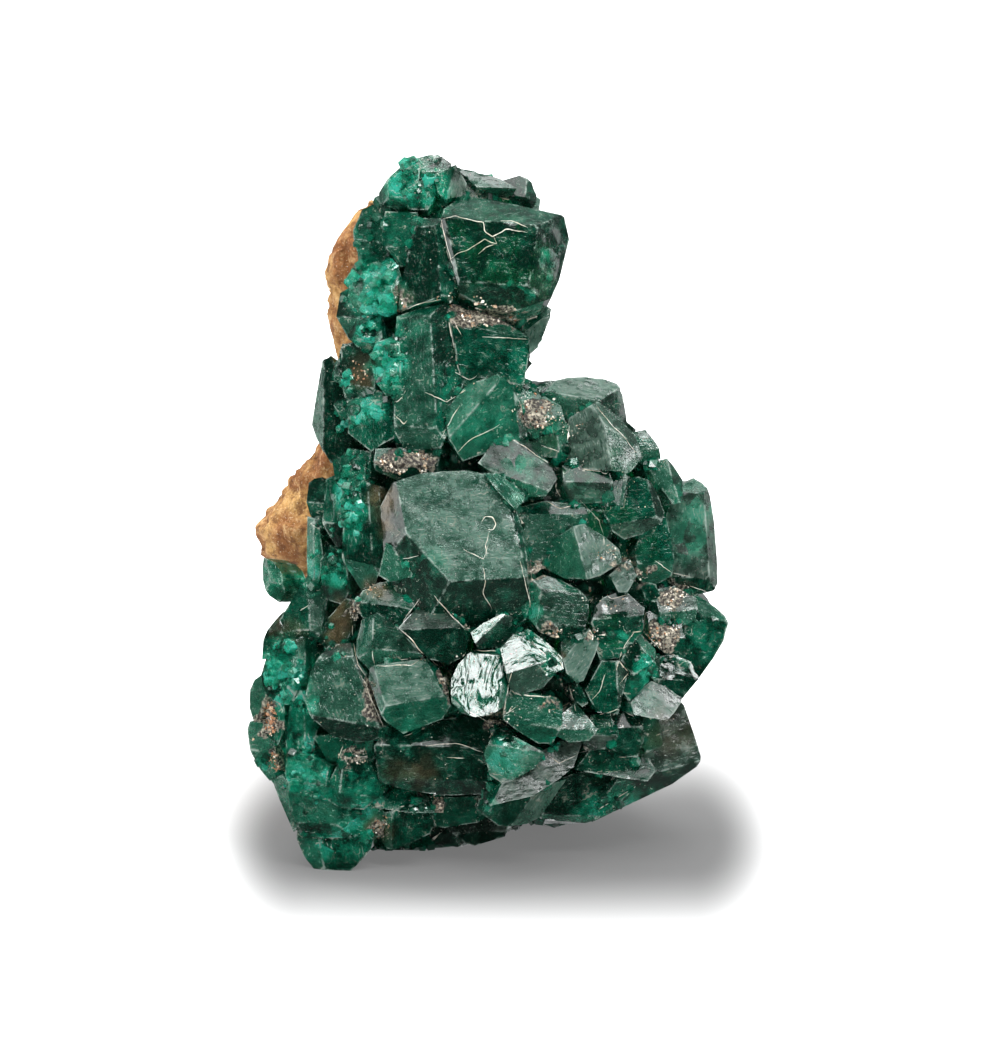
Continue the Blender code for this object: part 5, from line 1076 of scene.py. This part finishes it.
def buildGrainMaterial():
    made, tree, spot = newMaterial("seamGrains")
    pale = attribute(tree, "pale")
    fine = noiseOf(tree, spot["Object"], 3000.0, 4.0, 0.7)
    color = blend(tree, pale.ranged(0.15, 0.65), (0.34, 0.16, 0.08, 1.0), (0.62, 0.49, 0.34, 1.0))
    color = blend(tree, pale.ranged(0.55, 0.9), color, (0.90, 0.86, 0.76, 1.0))
    color = blend(tree, fine.ranged(0.3, 0.5, 0.7, 0.0), color, (0.14, 0.08, 0.04, 1.0))
    finishMaterial(tree, {"Base Color": color, "Roughness": fine.ranged(0.3, 0.7, 0.4, 0.85),
                          "Normal": bumpOf(tree, 0.6, 0.00006, fine)})
    return made


grainPoints, grainFaces, grainPale = layGrains()
grainPiece = makePiece("seamGrains", grainPoints, grainFaces, buildGrainMaterial(), "matrix_rock", smooth=False)
setAttribute(grainPiece, "pale", grainPale)
print("grains", len(grainFaces), "triangles")

# Druse: tiny six-sided prisms with pointed ends, half sunk, in blue-green brightened by painted glow.
# Each place is x, y, half width, half height in pixels, how many, least and most size, brightness of the
# painted glow.
druse = {
    "share": 0.38,
    "grow": 3.3,
    "clump": 1.6,
    "seamLeast": 0.6,       # millimetres; shorter seams get none
    "seamEvery": 0.42,      # one small crystal for so much of a seam
    "seamSizes": (0.30, 1.30),
    "length": 1.3,          # of its width, at most
    "sink": 0.30,
    "glow": 1.1,            # how much brighter than the place they lie in
    "frostAndSheen": 0.35,
    "lean": 0.8,            # how far a crystal may lean off the surface's normal
    "places": [
        (376, 245, 22, 28, 90, 0.16, 0.42, 0.25), (375, 288, 26, 28, 150, 0.18, 0.55, 0.85),
        (371, 331, 9, 10, 40, 0.15, 0.36, 1.0), (390, 366, 17, 28, 70, 0.14, 0.40, 0.75),
        (376, 406, 13, 11, 60, 0.12, 0.34, 0.95), (347, 384, 5, 13, 30, 0.12, 0.3, 0.9),
        (357, 417, 4, 8, 16, 0.12, 0.26, 0.9), (352, 500, 11, 38, 110, 0.14, 0.42, 0.85),
        (311, 566, 9, 24, 60, 0.12, 0.36, 0.6), (284, 672, 20, 30, 120, 0.14, 0.44, 0.85),
        (303, 706, 4, 6, 16, 0.10, 0.24, 0.9), (309, 750, 6, 8, 24, 0.10, 0.28, 0.85),
        (357, 822, 12, 14, 40, 0.12, 0.32, 0.6), (646, 666, 8, 12, 36, 0.10, 0.28, 0.75),
        (410, 182, 28, 26, 90, 0.16, 0.50, 0.7), (553, 745, 6, 6, 18, 0.10, 0.22, 0.95),
        (491, 804, 4, 4, 10, 0.10, 0.2, 0.9), (340, 600, 20, 60, 60, 0.12, 0.32, 0.35),
        (300, 790, 20, 24, 60, 0.14, 0.38, 0.5), (260, 770, 12, 24, 50, 0.14, 0.36, 0.4),
        (350, 440, 16, 24, 40, 0.12, 0.32, 0.55), (340, 545, 12, 20, 40, 0.12, 0.32, 0.5),
    ],
}


def pointedPrism():
    # Six-sided prism from -0.5 to 0.6 with a three-faced tip: rings of six corners and one point.
    angles = np.arange(6) * math.pi / 3.0
    ring = np.stack([np.cos(angles), np.sin(angles)], axis=1) * 0.5
    low = np.concatenate([ring, np.full((6, 1), -0.5)], axis=1)
    high = np.concatenate([ring, np.where(np.arange(6) % 2, 0.42, 0.62)[:, None]], axis=1)
    points = np.concatenate([low, high, [[0.0, 0.0, 0.85], [0.0, 0.0, -0.6]]])
    triangles = []
    for k in range(6):
        after = (k + 1) % 6
        triangles += [(k, after, 6 + after), (k, 6 + after, 6 + k), (6 + k, 6 + after, 12), (after, k, 13)]
    return points, np.array(triangles)


def growDruse():
    draw = np.random.default_rng(37)
    x, y, size, bright = scatter(druse["places"], draw, druse["share"])
    spots, up, found = landOn(x, y, ("cluster",))
    found &= layeredNoise(spots, druse["clump"], 2, 103) > -0.3
    size, bright, spots, up = (v[found] for v in (size * druse["grow"], bright, spots, up))
    a, b, sideA, normalA, sideB, normalB = seamEdges(druse["seamLeast"])
    counts = np.ceil(np.linalg.norm(b - a, axis=1) / druse["seamEvery"]).astype(int)
    edge = np.repeat(np.arange(len(a)), counts)
    seamSpots = a[edge] + (b - a)[edge] * draw.uniform(0.0, 1.0, (len(edge), 1))
    kept = layeredNoise(seamSpots, druse["clump"], 2, 107) > -0.25
    edge, seamSpots = edge[kept], seamSpots[kept]
    least, most = druse["seamSizes"]
    seamSize = least + (most - least) * draw.uniform(0.0, 1.0, len(edge)) ** 2.5
    spots = np.concatenate([spots, seamSpots])
    up = np.concatenate([up, (normalA + normalB)[edge]])
    size = np.concatenate([size, seamSize])
    bright = np.concatenate([bright, draw.uniform(-0.15, 0.55, len(edge)).clip(0.0)])
    count = len(spots)
    up = oneLong(oneLong(up) + draw.normal(0.0, druse["lean"] * 0.5, (count, 3)))
    side = oneLong(np.cross(up, draw.normal(size=(count, 3))))
    axes = np.stack([side, np.cross(up, side), up], axis=1)
    shape, triangles = pointedPrism()
    long = draw.uniform(0.7, druse["length"], (count, 1, 1))
    sized = shape[None] * size[:, None, None] * np.concatenate([np.ones((count, 1, 2)), long], axis=2)
    middles = spots - up * (size * druse["sink"])[:, None]
    points, faces = joinedCopies(np.einsum("nki,nij->nkj", sized, axes) + middles[:, None], triangles)
    values = {"bright": bright * druse["glow"], "frostAndSheen": druse["frostAndSheen"] * draw.uniform(0.0, 1.0, count) ** 2,
              "tone": draw.uniform(0.0, 1.0, count)}
    return points, faces, {name: np.repeat(value, len(shape)) for name, value in values.items()}


drusePoints, druseFaces, druseValues = growDruse()
drusePiece = makePiece("blueGreenDruse", drusePoints, druseFaces, druseMaterial, "dioptase", smooth=False)
for name, values in druseValues.items():
    setAttribute(drusePiece, name, values)
for name in ("seam", "ridge"):
    setAttribute(drusePiece, name, np.full(len(drusePoints), crystals["farReach"]))
print("druse", len(druseFaces), "triangles")

# Floor, lights and camera.
studio = {
    "floorHalf": 4.0,                    # metres
    "floorColor": (0.74, 0.74, 0.74, 1.0),
    # floorShade and the shade entries below paint a soft shadow into the floor around the specimen
    "floorShade": (0.09, 0.09, 0.09, 1.0),
    "shadeMiddle": (0.0009, -0.003, 0.0),
    "shadeCore": (0.0195, 0.0, 0.0),     # the shade is even this far to each side
    "shadeFade": (0.0100, 0.0410),        # and gone this far beyond, across and in depth
    "shadeEdge": (0.25, 1.5),
    "glowRange": (0.165, 0.80),
    "low": 0.45,             # brightness of the surroundings below and above
    "high": 0.95,
    "mirroredFront": 0.02,   # what a facet mirrors: a dark room in front, a pale one behind
    "mirroredBack": 0.5,
    "key": {"slope": (0.20, 0.30), "distance": 420.0, "size": 130.0, "radiance": 12.5},
    "panels": [
        {"slope": (0.05, 0.45), "distance": 420.0, "size": 280.0, "radiance": 2.6},
        {"slope": (0.90, 0.12), "distance": 420.0, "size": 160.0, "radiance": 2.2},
        {"slope": (-0.85, 0.08), "distance": 420.0, "size": 200.0, "radiance": 2.4},
        {"slope": (0.17, 0.82), "distance": 420.0, "size": 130.0, "radiance": 6.0},
    ],
    "fill": {"slope": (-0.10, 0.45), "distance": 520.0, "size": 300.0, "radiance": 3.0},
    "top": {"towards": (-0.15, 0.32, 0.93), "distance": 460.0, "size": 240.0, "radiance": 13.0},
}


def buildFloorMaterial():
    # Painted shadow: a flat oval of darker colour and weaker glow, even within its core, then fading, much
    # wider than deep.
    made, tree, spot = newMaterial("paleFloor")
    wide, deep = studio["shadeFade"]
    away = vectors(tree, "ABSOLUTE", vectors(tree, "SUBTRACT", spot["Object"], studio["shadeMiddle"]))
    away = vectors(tree, "MAXIMUM", vectors(tree, "SUBTRACT", away, studio["shadeCore"]), (0.0, 0.0, 0.0))
    radius = Value(tree, vectors(tree, "LENGTH", scaledBy(tree, away, (1.0 / wide, 1.0 / deep, 0.0))))
    color = blend(tree, radius.ranged(*studio["shadeEdge"], smooth=True),
                  studio["floorShade"], studio["floorColor"])
    # The glow lifts the floor to white outside the painted shadow and stays weak inside it
    glow = radius.ranged(*studio["shadeEdge"], *studio["glowRange"], smooth=True)
    glow = place(tree, "ShaderNodeCombineColor", {0: glow, 1: glow, 2: glow}).outputs[0]
    finishMaterial(tree, {"Base Color": color, "Roughness": 0.85, "Specular IOR Level": 0.2,
                          "Emission Color": glow, "Emission Strength": 1.0})
    return made


def layFloor():
    mesh = bpy.data.meshes.new("floor")
    half = studio["floorHalf"]
    mesh.from_pydata([(-half, -half, 0.0), (half, -half, 0.0), (half, half, 0.0), (-half, half, 0.0)],
                     [], [(0, 1, 2, 3)])
    floor = bpy.data.objects.new("floor", mesh)
    bpy.context.scene.collection.objects.link(floor)
    mesh.materials.append(buildFloorMaterial())
    floor.visible_glossy = False


def buildWorld():
    # Three brightnesses: what lights the scene, what facets mirror and what the camera sees.
    world = bpy.data.worlds.new("studioWorld")
    bpy.context.scene.world = world
    world.use_nodes = True
    tree = world.node_tree
    tree.nodes.clear()
    spot = place(tree, "ShaderNodeTexCoord").outputs["Generated"]
    parts = place(tree, "ShaderNodeSeparateXYZ", {0: spot}).outputs
    up = Value(tree, parts["Z"]).ranged(-0.2, 0.9, studio["low"], studio["high"])
    front = (Value(tree, parts["Y"]) * -1.0).ranged(-0.5, 0.75, 1.0, 0.0)
    mirrored = front * studio["mirroredBack"] + studio["mirroredFront"]
    path = place(tree, "ShaderNodeLightPath").outputs
    level = place(tree, "ShaderNodeMix", {0: path["Is Glossy Ray"], 2: up, 3: mirrored}).outputs[0]
    lighting = place(tree, "ShaderNodeBackground", {"Color": (0.97, 0.99, 1.0, 1.0), "Strength": level})
    backdrop = place(tree, "ShaderNodeBackground", {"Color": (1.0, 1.0, 1.0, 1.0), "Strength": 1.0})
    joined = place(tree, "ShaderNodeMixShader", {
        0: path["Is Camera Ray"], 1: lighting.outputs[0], 2: backdrop.outputs[0]})
    place(tree, "ShaderNodeOutputWorld", {"Surface": joined.outputs[0]})


def mirroredBy(slope):
    # The direction that a facet mirrors into the camera. The slope is how far the facet leans
    # right and up, per unit towards the viewer.
    lean = np.array([slope[0], slope[1], 1.0])
    lean = lean / np.linalg.norm(lean)
    return (2.0 * lean[2] * lean - np.array([0.0, 0.0, 1.0])) @ viewAxes


def softbox(name, distance, size, radiance, slope=None, towards=None, mirrored=True):
    # A square lamp, placed by the slope of the facets that mirror it, or straight by a direction.
    towards = mirroredBy(slope) if towards is None else np.array(towards) / np.linalg.norm(towards)
    data = bpy.data.lights.new(name, "AREA")
    data.shape = "SQUARE"
    data.size = size * mm
    data.energy = radiance * math.pi * (size * mm) ** 2
    lamp = bpy.data.objects.new(name, data)
    bpy.context.scene.collection.objects.link(lamp)
    middle = fromPixels(500.0, 560.0, picture["aimNear"])
    lamp.location = Vector((middle + towards * distance) * mm)
    lamp.rotation_euler = Vector(towards).to_track_quat("Z", "Y").to_euler()
    lamp.visible_glossy = mirrored


def aimCamera():
    data = bpy.data.cameras.new("camera")
    data.sensor_fit = "VERTICAL"
    data.sensor_height = picture["sensor"]
    high = picture["height"] / picture["pixelsPerMm"]
    data.lens = picture["sensor"] * picture["distance"] / high
    data.clip_end = 20.0
    camera = bpy.data.objects.new("camera", data)
    bpy.context.scene.collection.objects.link(camera)
    aim = fromPixels(picture["width"] / 2.0, picture["height"] / 2.0, picture["aimNear"])
    camera.location = Vector((aim + viewAxes[2] * picture["distance"]) * mm)
    camera.rotation_euler = (math.radians(90.0) - picture["tilt"], 0.0, 0.0)
    bpy.context.scene.camera = camera


layFloor()
buildWorld()
softbox("keyBox", **studio["key"])
softbox("fillBox", mirrored=False, **studio["fill"])
softbox("topBox", mirrored=False, **studio["top"])
for number, panel in enumerate(studio["panels"]):
    softbox("panel" + str(number), **panel)
aimCamera()
bpy.context.scene.view_settings.view_transform = "Standard"
print("studio ready")
